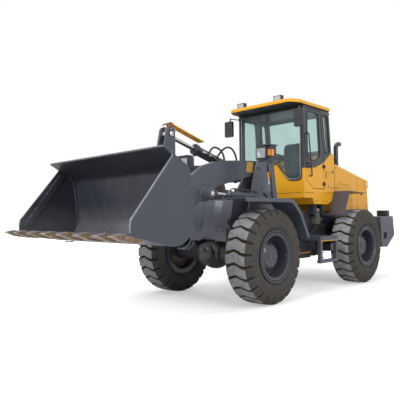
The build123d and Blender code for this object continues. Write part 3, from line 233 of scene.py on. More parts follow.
def paint(name, base, rough, coat, dust, chips_and_highlight=0.5, edge=(0.40, 0.40, 0.41), inside=None):
    """Sprayed machine paint with dust on what looks up, faint streaks and worn edges; where the edge colour
    is a paler copy of the paint, as on the rims, the worn edges also carry a painted highlight.
    """
    s = Shader(name)
    s.set(Coat_Weight=coat, Coat_Roughness=0.12, Specular_IOR_Level=0.35)
    tone = s.ramp(s.noise(1.3, 3), 0.3, 0.7, 0.9, 1.06)
    dark = s.mix(s.ramp(s.noise(2.2, 5), 0.35, 0.75, 0.0, 0.30), rgba(*base), scaled(base, 0.72))
    if inside:
        # Faces in the bucket's hollow get a darker base: painted shade, with real scratches and dust on it.
        dark = s.mix(within_bucket(s), dark, bucket_inside(s, inside))
    speck = s.ramp(s.noise(90, 3, 0.7), 0.62, 0.72)
    streak = s.ramp(s.noise(9, 4, 0.6, s.stretch(1, 1, 0.12)), 0.5, 0.8, 0.0, 0.25)
    dirt = s.times(s.math("MAXIMUM", s.up(), streak), s.ramp(s.noise(5, 6, 0.65), 0.35, 0.7))
    dirt = s.times(dirt, dust)
    dirt = s.plus(dirt, s.times(speck, dust * 0.25))
    low = s.ramp(s.height(), 1.1, 0.2, 0.0, dust)
    dirt = s.math("MINIMUM", s.plus(dirt, s.times(low, s.noise(7, 5))), 1.0)
    dirty = s.mix(dirt, dark, rgba(0.30, 0.27, 0.235))
    # Worn edge patches; on the rim paint their pale blue-grey is also a painted highlight along the lips.
    wear_and_highlight = s.times(s.edges(), s.ramp(s.noise(28, 4, 0.7), 0.50, 0.60, 0.0, chips_and_highlight))
    s.colour(s.mix(wear_and_highlight, dirty, rgba(*edge)))
    s.rough(s.plus(s.times(dirt, 0.35), s.times(tone, rough)))
    s.bump(s.plus(s.noise(260, 2), s.times(s.noise(3.5, 2), 2.0)), 0.25, 0.001, 0.004)
    return s.material


def within_bucket(s):
    """1 on the faces that look into the bucket's hollow."""
    away = s.add("ShaderNodeVectorMath", operation="SUBTRACT")
    away.inputs[0].default_value = (0.0, PINS_Y - 3.75, 1.65)
    s.link(s.place, away.inputs[1])
    dot = s.add("ShaderNodeVectorMath", operation="DOT_PRODUCT")
    s.link(away.outputs[0], dot.inputs[0])
    s.link(s.coords.outputs["Normal"], dot.inputs[1])
    facing = s.ramp(dot.outputs["Value"], 0.0, 0.02)
    ahead = s.ramp(s.part(s.place, "Y"), PINS_Y - 3.11, PINS_Y - 3.13)
    return s.times(facing, ahead)


def bucket_inside(s, base):
    """Dark steel with long scratches and a paler, dusty floor; its base, a darker copy of the outside paint's
    hue, is painted shade in the bucket's hollow.
    """
    scratch = s.ramp(s.noise(40, 6, 0.75, s.stretch(1.0, 0.05, 0.05)), 0.55, 0.66, 0.0, 0.5)
    cloud = s.ramp(s.noise(1.6, 6, 0.6), 0.35, 0.75, 0.0, 0.6)
    dull = s.mix(cloud, rgba(*base), scaled(base, 1.7))
    low = s.ramp(s.height(), 1.45, 1.15, 0.0, 0.75)
    floor = s.times(low, s.ramp(s.noise(3, 6, 0.7), 0.3, 0.6, 0.45, 1.0))
    dusty = s.mix(floor, dull, rgba(0.115, 0.120, 0.135))
    return s.mix(scratch, dusty, rgba(0.10, 0.105, 0.115))


def lit(name, base, rough, metal=0.0, grain=120.0, depth=0.0006, vary=0.25, other=None, coat=0.0):
    """A plain material with small tone changes and a fine grain."""
    s = Shader(name)
    s.set(Metallic=metal, Coat_Weight=coat)
    tone = s.ramp(s.noise(6, 5), 0.3, 0.7, 0.0, vary)
    fine = s.ramp(s.noise(45, 5, 0.7), 0.4, 0.65, 0.0, vary)
    mixed = s.math("MAXIMUM", tone, fine)
    s.colour(s.mix(mixed, rgba(*base), rgba(*other) if other else scaled(base, 0.55)))
    s.rough(s.ramp(s.noise(30, 4), 0.3, 0.7, rough * 0.85, min(rough * 1.15, 1.0)))
    s.bump(s.noise(grain, 4, 0.6), 0.5, depth, 0.003)
    return s.material


def tooth_steel():
    """Forged steel: scoured dark on top, sandy below, rusty at the sides and bright along its edges."""
    s = Shader("tooth_steel")
    s.set(Metallic=0.25)
    tall = s.part(s.coords.outputs["Normal"], "Z")
    patch = s.ramp(s.noise(14, 6, 0.7), 0.35, 0.65)
    top = s.mix(patch, rgba(0.055, 0.060, 0.075), rgba(0.15, 0.145, 0.145))
    below = s.mix(patch, rgba(0.30, 0.25, 0.195), rgba(0.17, 0.125, 0.085))
    side = s.mix(patch, rgba(0.25, 0.16, 0.085), rgba(0.10, 0.075, 0.060))
    body = s.mix(s.ramp(tall, 0.0, 0.3), side, top)
    body = s.mix(s.ramp(tall, -0.3, -0.7), body, below)
    s.colour(s.mix(s.times(s.edges(0.009), 0.8), body, rgba(0.62, 0.60, 0.58)))
    s.rough(s.ramp(patch, 0, 1, 0.42, 0.7))
    s.bump(s.noise(70, 5, 0.7), 0.5, 0.002, 0.004)
    return s.material


def tyre_rubber():
    """Dusty rubber: pale lug tops, scuffed and with a painted highlight, groove floors darkened as painted
    shade, sandy groove edges, dark dusty walls.
    """
    s = Shader("tyre_rubber")
    s.set(Specular_IOR_Level=0.3)
    tread, groove = s.attribute("tread"), s.attribute("groove")
    cloud = s.ramp(s.noise(7, 7, 0.7), 0.35, 0.68)
    fine = s.ramp(s.noise(75, 5, 0.75), 0.38, 0.7)
    wall = s.mix(s.times(cloud, fine), rgba(0.044, 0.042, 0.042), rgba(0.115, 0.104, 0.090))
    # Pale bluish lug tops: real scuffing, plus a painted highlight for the light they catch.
    scuffed_and_highlit = s.mix(s.times(cloud, fine), rgba(0.26, 0.262, 0.276), rgba(0.44, 0.437, 0.44))
    body = s.mix(s.times(tread, s.ramp(s.noise(22, 4), 0.3, 0.5, 0.55, 1.0)), wall, scuffed_and_highlit)
    sandy = s.ramp(groove, 0.02, 0.35)
    # Groove floors darkened past the walls: painted shade in the deep grooves.
    floor = s.ramp(groove, 0.6, 0.95)
    body = s.mix(s.times(sandy, 0.9), body, rgba(0.105, 0.078, 0.048))
    s.colour(s.mix(floor, body, rgba(0.022, 0.019, 0.016)))
    s.rough(s.ramp(cloud, 0, 1, 0.78, 0.96))
    s.bump(s.plus(s.noise(140, 5, 0.7), s.noise(18, 3)), 0.6, 0.002)
    return s.material


def clear_glass(name, tint, body, film):
    """Tinted see-through glazing with a thin film of dust and more of its body colour at a flat angle; on the
    windows that blue-grey body colour is a painted sky reflection.
    """
    s = Shader(name)
    s.set(IOR=1.45, Roughness=0.04, Specular_IOR_Level=0.7)
    s.bsdf.inputs["Base Color"].default_value = rgba(*body)
    clear = s.add("ShaderNodeBsdfTransparent")
    clear.inputs["Color"].default_value = rgba(*tint)
    weight = s.add("ShaderNodeLayerWeight")
    # The opaque body colour, mixed in at flat angles and with the dust, paints the sky's reflection on the
    # windows.
    grazing_sheen = s.times(s.math("POWER", weight.outputs["Facing"], 3.0), 0.6)
    blend = s.add("ShaderNodeMixShader")
    dust = s.ramp(s.noise(3, 5), 0.3, 0.8, film * 0.6, film * 1.4)
    amount = s.plus(grazing_sheen, dust)
    s.link(amount, blend.inputs[0])
    s.link(clear.outputs[0], blend.inputs[1])
    s.link(s.bsdf.outputs[0], blend.inputs[2])
    s.link(blend.outputs[0], s.tree.nodes["Material Output"].inputs["Surface"])
    return s.material


MATERIALS = {
    "yellow": paint("paint_yellow", (0.82, 0.385, 0.013), 0.38, 0.12, 0.05, 0.12, (0.9, 0.62, 0.2)),
    "grey": paint("paint_grey", (0.064, 0.076, 0.101), 0.40, 0.2, 0.10, edge=(0.30, 0.32, 0.36)),
    "bucket": paint(
        "paint_bucket", (0.051, 0.061, 0.080), 0.42, 0.12, 0.08, 0.8, edge=(0.42, 0.42, 0.42),
        # Darker base inside the bucket: painted shade in its hollow.
        inside=(0.023, 0.0255, 0.034),
    ),
    "dark": paint("paint_dark", (0.030, 0.033, 0.042), 0.34, 0.4, 0.16, 0.2),
    "fender": paint("paint_fender", (0.070, 0.066, 0.076), 0.45, 0.15, 0.05, 0.3),
    # The rim's pale blue edge colour is partly real wear, partly a painted highlight on the lip rings' edges.
    "rim": paint("paint_rim", (0.044, 0.050, 0.068), 0.30, 0.45, 0.10, 0.25, (0.30, 0.34, 0.42)),
    "worn": lit("worn_edge", (0.40, 0.40, 0.41), 0.45, 0.5, 120, 0.0004, 0.6, (0.13, 0.13, 0.14)),
    "teeth": tooth_steel(),
    # A paler, purple-tinged copy of the frame's blue-grey paint: painted light on the front frame's sloped
    # plates.
    "nose": paint("paint_front_frame_lit", (0.115, 0.120, 0.150), 0.45, 0.15, 0.12, 0.3),
    "black": paint("paint_black", (0.022, 0.024, 0.029), 0.36, 0.3, 0.08, 0.1),
    "chrome": lit("chrome_rod", (0.66, 0.67, 0.70), 0.14, metal=1.0, vary=0.1, depth=0.0001),
    "bright": lit("bright_steel", (0.62, 0.61, 0.60), 0.35, metal=0.8, depth=0.0004, vary=0.35),
    "rust": lit("rusty_disc", (0.22, 0.10, 0.045), 0.7, 0.3, 120, 0.001, 0.8, (0.07, 0.04, 0.025)),
    "tan": lit("tan_cap", (0.52, 0.36, 0.24), 0.5, vary=0.4),
    "pale": lit("blank_plate", (0.55, 0.56, 0.58), 0.4, vary=0.2),
    "label": lit("blank_yellow_plate", (0.80, 0.50, 0.07), 0.45, vary=0.25),
    "tyre": tyre_rubber(),
    # The glazing's blue-grey body colour is a painted sky reflection, laid over real dust.
    "glass": clear_glass("glazing", (0.845, 0.918, 0.902), (0.46, 0.52, 0.60), 0.085),
    "lens": clear_glass("lamp_lens", (0.96, 0.97, 0.98), (0.8, 0.82, 0.85), 0.06),
    "amber": lit("amber_lens", (0.85, 0.30, 0.02), 0.18, vary=0.3, coat=0.6),
    "red": lit("red_lens", (0.45, 0.015, 0.01), 0.18, vary=0.3, coat=0.6),
    "plastic": lit("plastic_black", (0.022, 0.022, 0.024), 0.50, grain=500, depth=0.0002),
    "seal": lit("rubber_seal", (0.012, 0.012, 0.013), 0.55, grain=300, depth=0.0002),
    "fabric": lit("seat_fabric", (0.035, 0.036, 0.040), 0.9, grain=900, depth=0.0008),
    "engine": lit("engine_cast", (0.10, 0.10, 0.095), 0.7, grain=60, depth=0.002),
    "core": lit("radiator_core", (0.08, 0.08, 0.08), 0.6, metal=0.5, grain=200),
}

NODE_LOOKS = {
    "yellow": ("cab_base", "hood", "cab_roof", "rod_guard"),
    "black": ("cab_frame", "mirrors", "exhaust_stack", "cab_door_left", "cab_door_right", "radiator_grille"),
    "dark": ("front_axle", "rear_axle", "rear_frame"),
    "fender": ("rear_fenders",),
    # The front frame takes the lit copy of the frame paint: painted light.
    "nose": ("front_frame",),
    "bucket": ("bucket",),
    "plastic": ("work_lamps", "steering_column"),
    "fabric": ("seat",),
    "teeth": ("cutting_edge",),
    "rim": ("rim_front_left", "rim_front_right", "rim_rear_left", "rim_rear_right"),
    "engine": ("engine_block", "valve_block"),
    "core": ("radiator",),
}


def look_of(node):
    """The material's name for a CAD node."""
    for look, names in NODE_LOOKS.items():
        if node in names:
            return look
    if node.startswith("tyre"):
        return "tyre"
    if "glass" in node:
        return "glass"
    if "cylinder_rod" in node:
        return "chrome"
    return "grey"


def dress_nodes():
    """Gives every CAD node its material."""
    for name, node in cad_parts.items():
        node.data.materials.clear()
        node.data.materials.append(MATERIALS[look_of(name)])


class Form:
    """Gathers small shapes, in millimetres from the articulation pins, into one mesh."""

    def __init__(self):
        self.points = []
        self.faces = []

    def add(self, points, faces):
        start = len(self.points)
        self.points += [Vector(point) for point in points]
        self.faces += [[start + index for index in face] for face in faces]

    def skin(self, rings, closed=False):
        """Skins a row of rings, and caps its ends unless the row is closed."""
        count, rows = len(rings[0]), len(rings)
        faces = []
        for row in range(rows if closed else rows - 1):
            after = (row + 1) % rows
            for i in range(count):
                j = (i + 1) % count
                faces.append((row * count + i, row * count + j, after * count + j, after * count + i))
        if not closed:
            faces.append(range(count))
            faces.append([(rows - 1) * count + i for i in range(count)])
        self.add([point for ring in rings for point in ring], faces)

    def turned(self, centre, axis, profile, sides=24, closed=False):
        """A solid turned round an axis, from (radius, along) points."""
        centre, axis = Vector(centre), Vector(axis).normalized()
        across = axis.orthogonal().normalized()
        other = axis.cross(across)
        rings = []
        for radius, along in profile:
            ring = []
            for step in range(sides):
                angle = 2 * math.pi * step / sides
                out = across * math.cos(angle) + other * math.sin(angle)
                ring.append(centre + axis * along + out * radius)
            rings.append(ring)
        self.skin(rings, closed)

    def tube(self, points, radius, sides=10, closed=False):
        """A round bar along points."""
        points = [Vector(point) for point in points]
        count = len(points)
        across, rings = None, []
        for i, point in enumerate(points):
            before = points[i - 1] if i or closed else point
            after = points[(i + 1) % count] if i + 1 < count or closed else point
            along = (after - before).normalized()
            across = along.orthogonal() if across is None else across - along * across.dot(along)
            across.normalize()
            other = along.cross(across)
            ring = []
            for step in range(sides):
                angle = 2 * math.pi * step / sides
                ring.append(point + (across * math.cos(angle) + other * math.sin(angle)) * radius)
            rings.append(ring)
        self.skin(rings, closed)

    def block(self, low, high, bevel=2.0):
        """A block with chamfered edges."""
        low, high = Vector(map(min, low, high)), Vector(map(max, low, high))
        bevel = min(bevel, min(high - low) * 0.45)
        rings = []
        for z, inset in ((low.z, bevel), (low.z + bevel, 0), (high.z - bevel, 0), (high.z, bevel)):
            x0, x1, y0, y1 = low.x + inset, high.x - inset, low.y + inset, high.y - inset
            b = bevel
            front = ((x0 + b, y0), (x1 - b, y0), (x1, y0 + b), (x1, y1 - b))
            back = ((x1 - b, y1), (x0 + b, y1), (x0, y1 - b), (x0, y0 + b))
            rings.append([Vector((x, y, z)) for x, y in front + back])
        self.skin(rings)

    def plate(self, outline, thick):
        """A flat plate with an outline of points and a thickness vector."""
        outline, thick = [Vector(point) for point in outline], Vector(thick)
        centre = sum(outline, Vector()) / len(outline)
        edge = min(2.0, thick.length * 0.4)
        top = [point + thick + (centre - point).normalized() * edge for point in outline]
        self.skin([outline, [point + thick * 0.6 for point in outline], top])

    def bolt(self, centre, axis, radius):
        """A hexagon head on its washer."""
        height = radius * 0.9
        self.turned(centre, axis, [(radius * 1.25, 0), (radius * 1.25, height * 0.2)], 14)
        head = [(radius, height * 0.2), (radius, height * 0.9), (radius * 0.82, height)]
        self.turned(centre, axis, head, 6)

    def side_bolts(self, x, spots, radius):
        """Bolts at (Y, Z) spots on both sides of the machine, heads outward."""
        for side in SIDES:
            for y, z in spots:
                self.bolt((side * x, y, z), (side, 0, 0), radius)

    def side_block(self, low, high, bevel):
        """A block on each side of the machine."""
        for side in SIDES:
            self.block((side * low[0], *low[1:]), (side * high[0], *high[1:]), bevel)

    def finish(self, name, look, body, slot, replaces=(), sharp=32):
        """Makes the mesh, gives it its material and lets it ride on its body."""
        mesh = bpy.data.meshes.new(name)
        points = [(p.x / 1000, p.y / 1000 + PINS_Y, p.z / 1000) for p in self.points]
        mesh.from_pydata(points, [], [list(face) for face in self.faces])
        work = bmesh.new()
        work.from_mesh(mesh)
        bmesh.ops.recalc_face_normals(work, faces=work.faces)
        work.to_mesh(mesh)
        work.free()
        mesh.shade_smooth()
        mesh.set_sharp_from_angle(angle=math.radians(sharp))
        mesh.materials.append(MATERIALS[look])
        piece = bpy.data.objects.new(name, mesh)
        bpy.context.scene.collection.objects.link(piece)
        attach(piece, body)
        if replaces:
            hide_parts(*replaces)
        return piece


def rounded(points, radius, steps=5, closed=True):
    """A path with its corners rounded."""
    points = [Vector(point) for point in points]
    path = []
    for i, point in enumerate(points):
        if not closed and i in (0, len(points) - 1):
            path.append(point)
            continue
        before, after = points[i - 1], points[(i + 1) % len(points)]
        reach = min(radius, (before - point).length * 0.45, (after - point).length * 0.45)
        a = point + (before - point).normalized() * reach
        b = point + (after - point).normalized() * reach
        for step in range(steps + 1):
            t = step / steps
            path.append(a * (1 - t) ** 2 + point * 2 * t * (1 - t) + b * t * t)
    return path


def smooth(points, steps=8):
    """A smooth open path through points."""
    points = [Vector(point) for point in points]
    points = [points[0] * 2 - points[1]] + points + [points[-1] * 2 - points[-2]]
    path = []
    for a, b, c, d in zip(points, points[1:], points[2:], points[3:]):
        for step in range(steps):
            t = step / steps
            curve = (2 * a - 5 * b + 4 * c - d) * t * t + (3 * b - a - 3 * c + d) * t**3
            path.append(0.5 * (2 * b + (c - a) * t + curve))
    path.append(points[-2])
    return path


def side_path(x, points, radius, steps):
    """A path of (Y, Z) points at this X, with rounded corners."""
    return rounded([(x, y, z) for y, z in points], radius, steps, closed=False)


# Half of the tyre's outline: distance from its middle, radius, and depth of the grooves there
TYRE_HALF_OUTLINE = (
    (0, TYRE_RADIUS, 28), (40, TYRE_RADIUS, 28), (80, 674.6, 28), (120, 673.6, 28), (148, 672, 28),
    (160, 670, 28), (167, 665, 28), (174, 657, 27), (186, 640, 26), (196, 622, 24), (204, 604, 21),
    (210, 588, 17), (214, 574, 11), (217, 562, 4),
    (219, 550, 0), (221, 525, 0), (222, 500, 0), (222, 480, 0), (222, 467, 0), (226, 463, 0), (226, 456, 0),
    (221, 451, 0), (218, 438, 0), (216.5, 430, 0), (212, 425, 0), (206, 412, 0), (197, 400, 0), (187, 386, 0),
    (179, 375, 0), (177.5, 366, 0), (177.5, 330, 0), (170, 319, 0), (90, 319, 0),
)
# The line of a groove across the tread: share of the half width, shift along the tread
GROOVE_LINE = ((-1.0, 28), (-0.60, -10), (-0.05, 34), (0.45, -18), (0.62, -26), (1.0, -24))


def groove_shift(share):
    """How far a groove is shifted along the tread at this share of the half width."""
    for (a, low), (b, high) in zip(GROOVE_LINE, GROOVE_LINE[1:]):
        if share <= b:
            return low + (high - low) * max(share - a, 0) / (b - a)
    return GROOVE_LINE[-1][1]


def wheel_centre(end, side):
    """The middle of a wheel."""
    out = 1 if side == "left" else -1
    ahead = -1 if end == "front" else 1
    return Vector((out * HALF_TREAD, ahead * AXLE_Y, AXLE_Z))


def tyre(end, side):
    """An earthmover tyre: zigzag lugs that run down its shoulders as ribs, on the CAD tyre's own form."""
    outline = [(-x, r, depth) for x, r, depth in TYRE_HALF_OUTLINE[:0:-1]] + list(TYRE_HALF_OUTLINE)
    centre = wheel_centre(end, side)
    pitch = 2 * math.pi * TYRE_RADIUS / LUGS
    form, tread, groove, rings = Form(), [], [], []
    for i, (x, radius, depth) in enumerate(outline):
        before, after = outline[i - 1], outline[(i + 1) % len(outline)]
        along = Vector((after[0] - before[0], after[1] - before[1])).normalized()
        inward = Vector((along.y, -along.x))
        width = GROOVE_HALF + GROOVE_FLARE * min(abs(x) / FLARE_END, 1) ** 2
        wall = [(0, 1), (0.5 * width, 1), (0.68 * width, 0.85), (0.95 * width, 0.16)]
        wall += [(width + 3, 0), (width + 12, 0)]
        columns = wall + [(pitch / 2, 0)] + [(pitch - t, d) for t, d in wall[:0:-1]]
        shift = groove_shift(x / TYRE_HALF if radius > SHOULDER_RADIUS else math.copysign(1, x))
        dusty_ring = 0.22 if RING_LINE[0] < radius < RING_LINE[1] else 0.0
        ring = []
        for lug in range(LUGS):
            for t, d in columns:
                angle = ((lug + 0.5) * pitch + shift + t) / TYRE_RADIUS
                r = radius + inward.y * depth * d
                across = x + inward.x * depth * d
                ring.append(centre + Vector((across, -r * math.cos(angle), r * math.sin(angle))))
                tread.append(1.0 if radius > LUG_TOP_RADIUS and d < 0.1 else 0.0)
                groove.append(d if depth else dusty_ring)
        rings.append(ring)
    form.skin(rings, closed=True)
    node = f"tyre_{end}_{side}"
    piece = form.finish(f"{node}_lugged", "tyre", f"wheel_{end}_{side}", "tyre_rubber", (node,), 38)
    for name, values in (("tread", tread), ("groove", groove)):
        piece.data.attributes.new(name, "FLOAT", "POINT").data.foreach_set("value", values)


def wheel_trim(end, side):
    """Wheel nuts, the hub's bolted cover, the rim's lip rings, black rings painted as the shade in the rim's
    gaps, the brake disc and the valve.
    """
    out = 1 if side == "left" else -1
    centre, axis = wheel_centre(end, side), (out, 0, 0)
    body = f"wheel_{end}_{side}"
    trim = Form()
    for count, radius, along, size in ((12, 238, -8, 15), (10, 140, 115, 10), (6, 52, 121, 6)):
        for step in range(count):
            angle = 2 * math.pi * (step + 0.5) / count
            spot = centre + Vector((out * along, radius * math.cos(angle), radius * math.sin(angle)))
            trim.bolt(spot, axis, size)
    trim.turned(centre, axis, [(84, 114), (84, 119), (80, 121), (66, 121), (62, 119)], 32)
    trim.turned(centre, axis, [(181, 70), (188, 74), (188, 90), (181, 95)], 40)
    for inner, outer, low, high in ((355, 372, 186, 210), (311, 330, 185, 206), (296, 303, 40, 50)):
        soft = high - (high - low) * 0.2
        lip = [(inner, low), (outer, low), (outer, soft), (outer - 4, high), (inner + 4, high)]
        lip.append((inner, soft))
        trim.turned(centre, axis, lip, 96, closed=True)
    trim.finish(f"wheel_trim_{end}_{side}", "rim", body, "paint_grey")
    # Black rings on the flange's groove and between tyre and rim: painted shade in the gaps.
    gap_shade = Form()
    gap_shade.turned(centre, axis, [(331, 190), (354, 190), (354, 203.2), (331, 201)], 96, closed=True)
    gap_shade.turned(centre, axis, [(372, 180), (381, 180), (379, 190), (372, 192)], 96, closed=True)
    gap_shade.finish(f"rim_gap_{end}_{side}", "seal", body, "plastic_black")
    disc = Form()
    profile = [(232, -44), (246, -44), (246, -74), (271, -74), (274, -77)]
    profile += [(274, -91), (271, -94), (214, -94), (214, -74), (232, -74)]
    disc.turned(centre, axis, profile, 48, closed=True)
    disc.finish(f"brake_disc_{end}_{side}", "rust", body, "cast_steel")
    valve = Form()
    stem = [centre + Vector((out * x, r, 0)) for x, r in ((150, 290), (165, 280), (180, 278))]
    valve.tube(smooth(stem, 4), 5, 8)
    valve.finish(f"valve_stem_{end}_{side}", "bright", body, "chrome_rod")


def wheels():
    """Every wheel's tyre and trim."""
    for end in ("front", "rear"):
        for side in ("left", "right"):
            tyre(end, side)
            wheel_trim(end, side)


def lamp_frame(x, y, z, half, down, up):
    """The four corners round a lamp's face."""
    return [(x + a, y, z + b) for a, b in ((-half, -down), (half, -down), (half, up), (-half, up))]


def headlamps():
    """Lenses, reflectors and bezels of the head and turn lamps."""
    rim, mirror, lens, amber = Form(), Form(), Form(), Form()
    z, face = 2166, -1334
    for side in SIDES:
        x = side * 810
        rim.tube(rounded(lamp_frame(x, face, z, 86, 78, 78), 26), 8, 8, closed=True)
        for r0, r1, y0 in ((72, 52, face), (52, 30, face + 2.5)):
            mirror.turned((x, y0, z), (0, 1, 0), [(r0, 0), (r0 - 3, -3), (r1, -1), (r1 * 0.3, 0)], 32)
        mirror.block((x - 82, face + 2, z - 74), (x + 82, face + 4, z + 74), 0.6)
        mirror.turned((x, face, z), (0, -1, 0), [(12, 0), (12, 4), (7, 6)], 16)
        lens.block((x - 83, face - 9, z - 75), (x + 83, face - 5, z + 75), 1.5)
        for row in range(-3, 4):
            level = z + row * 22
            lens.block((x - 70, face - 11, level - 1.5), (x + 70, face - 9, level + 1.5), 0.7)
        low, high = sorted((side * 908, side * 972))
        rim.block((low - 4, -1303, 2058), (high + 4, -1178, 2274), 6)
        amber.block((low + 4, -1313, 2118), (high - 4, -1302, 2214), 5)
        for row in range(4):
            level = 2126 + row * 22
            amber.block((low + 8, -1316, level), (high - 8, -1312, level + 12), 1.5)
        tip = side * 976
        amber.block((tip - side * 3, -1296, 2120), (tip + side * 4, -1240, 2212), 2)
    rim.finish("headlamp_bezels", "plastic", "front_frame", "plastic_black")
    mirror.finish("headlamp_reflectors", "bright", "front_frame", "chrome_rod")
    lens.finish("headlamp_lenses", "lens", "front_frame", "glazing")
    amber.finish("turn_lamp_lenses", "amber", "front_frame", "glazing")


def work_lamps():
    """The roof lamps' lenses, reflectors and bezels, and the tail lamps' lenses."""
    rim, mirror, lens = Form(), Form(), Form()
    face = -77
    for x in (250, -570):
        rim.tube(rounded(lamp_frame(x, face, 3295, 74, 54, 44), 16), 6, 8, closed=True)
        mirror.block((x - 70, face, 3244), (x + 70, face + 2, 3336), 0.6)
        for across in (-35, 35):
            mirror.turned((x + across, face - 2, 3290), (0, 1, 0), [(32, 0), (30, 2), (10, 3)], 24)
        lens.block((x - 71, face - 6, 3243), (x + 71, face - 3, 3337), 1.2)
        for out in SIDES:
            rim.tube([(x + out * 84, -40, 3240), (x + out * 84, -40, 3300)], 5, 8)
            rim.bolt((x + out * 80, -40, 3290), (out, 0, 0), 9)
    mirror.tube([(350, -30, 3232), (620, -30, 3225)], 8, 10)
    rim.block((344, -42, 3205), (360, -18, 3236), 3)
    rim.block((612, -42, 3205), (628, -18, 3230), 3)
    rim.finish("work_lamp_bezels", "plastic", "rear_frame", "plastic_black")
    mirror.finish("work_lamp_reflectors", "bright", "rear_frame", "chrome_rod")
    lens.finish("work_lamp_lenses", "lens", "rear_frame", "glazing")
    rear = Form()
    for x0, x1 in ((866, 948), (958, 1044)):
        rear.side_block((x0, 2654, 1222), (x1, 2660, 1312), 3)
    rear.finish("tail_lamp_lenses", "red", "rear_frame", "glazing")


def cab_seals():
    """Rubber round the cab's fixed panes, and a pale line along the windscreen's edge, a painted highlight.
    """
    half = [(150, 28, 2165), (390, 28, 1850), (650, 28, 1850), (650, 28, 3090)]
    front = half + [(-x, y, z) for x, y, z in half[::-1]]
    seal, line = Form(), Form()
    seal.tube(rounded(front, 75), 13, 8, closed=True)
    # Pale line inside the windscreen's seal: a painted highlight on the glass edge.
    inner = [(x * 0.972, 20, z + (22 if z < 2100 else 0)) for x, y, z in front]
    line.tube(rounded(inner, 70), 4.5, 6, closed=True)
    quarter = [(765, 2330), (915, 2400), (850, 3045), (665, 3045)]
    for side in SIDES:
        seal.tube(rounded([(side * CAB_HALF, y, z) for y, z in quarter], 45), 8, 8, closed=True)
    corners = ((-618, 2432), (618, 2432), (618, 3058), (-618, 3058))
    rear = [(x, 880 + (3140 - z) * REAR_LEAN, z) for x, z in corners]
    seal.tube(rounded(rear, 50), 11, 8, closed=True)
    seal.finish("cab_seals", "seal", "rear_frame", "plastic_black")
    line.finish("windscreen_glint_line", "pale", "rear_frame", "chrome_rod")


def visor_and_wiper():
    """A black plate and block under the roof's overhang, painted shade, with the roof's gutters, and the
    windscreen wiper.
    """
    overhang_shade = Form()
    edge = [(718, 26), (718, -112), (628, -286), (-628, -286), (-718, -112), (-718, 26)]
    # Black plate and block under the roof's overhang: painted shade.
    overhang_shade.plate([(x, y, 3136) for x, y in edge], (0, 0, 4))
    overhang_shade.block((-640, -120, 3128), (640, 20, 3138), 4)
    for side in SIDES:
        overhang_shade.tube([(side * 716, 30, 3134), (side * 716, 880, 3134)], 7, 8)
    overhang_shade.finish("visor_shade_plate", "plastic", "rear_frame", "plastic_black")
    wiper = Form()
    wiper.turned((-60, 30, 2140), (0, -1, 0), [(20, -6), (20, 14), (12, 24)], 20)
    wiper.tube(smooth([(-60, 8, 2140), (-100, -2, 2350), (-150, 2, 2600)]), 6, 8)
    wiper.tube([(-150, 0, 2330), (-168, 0, 2900)], 5, 8)
    wiper.block((-172, 2, 2320), (-150, 18, 2905), 3)
    wiper.finish("wiper", "plastic", "rear_frame", "plastic_black")


def mirrors():
    """The mirrors' faces, rims and joints."""
    glass, shell = Form(), Form()
    glass.side_block((690, -166, 2745), (830, -163, 2985), 1)
    for side in SIDES:
        edge = [(side * x, -164, z) for x, z in ((686, 2738), (834, 2738), (834, 2992), (686, 2992))]
        shell.tube(rounded(edge, 20), 4, 6, closed=True)
        x = side * 745
        shell.turned((x, -170, 2985), (0, 0, 1), [(18, 0), (18, 30), (12, 36)], 16)
        shell.turned((x, -170, 2860), (0, -1, 0), [(30, 20), (30, 52), (22, 58)], 20)
        shell.tube(smooth([(x, -170, 3060), (x + side * 7, -176, 3020), (x, -170, 2980)], 5), 10, 8)
    glass.finish("mirror_glass", "chrome", "rear_frame", "chrome_rod")
    shell.finish("mirror_trim", "plastic", "rear_frame", "plastic_black")


def doors():
    """Each door's window seal, handle and yellow lower skin."""
    window = [(155, 2250), (380, 2185), (580, 2285), (525, 3045), (155, 3045)]
    lower = [(102, 1868), (331, 1718), (694, 1718), (694, 2180), (400, 2078), (102, 2050)]
    for side, name in ((1, "left"), (-1, "right")):
        rubber = Form()
        face, grip = side * 697, side * 725
        rubber.tube(rounded([(face, y, z) for y, z in window], 60), 8, 8, closed=True)
        rubber.block((face, 150, 2120), (face + side * 16, 205, 2150), 5)
        handle = [(face, 160, 2085), (grip, 165, 2080), (grip, 250, 2076), (face, 256, 2074)]
        rubber.tube(smooth(handle, 5), 7, 8)
        rubber.finish(f"door_seal_{name}", "seal", f"door_{name}", "plastic_black")
        skin = Form()
        skin.plate([(side * 696, y, z) for y, z in lower], (side * 2.5, 0, 0))
        skin.finish(f"door_skin_{name}", "yellow", f"door_{name}", "paint_yellow")


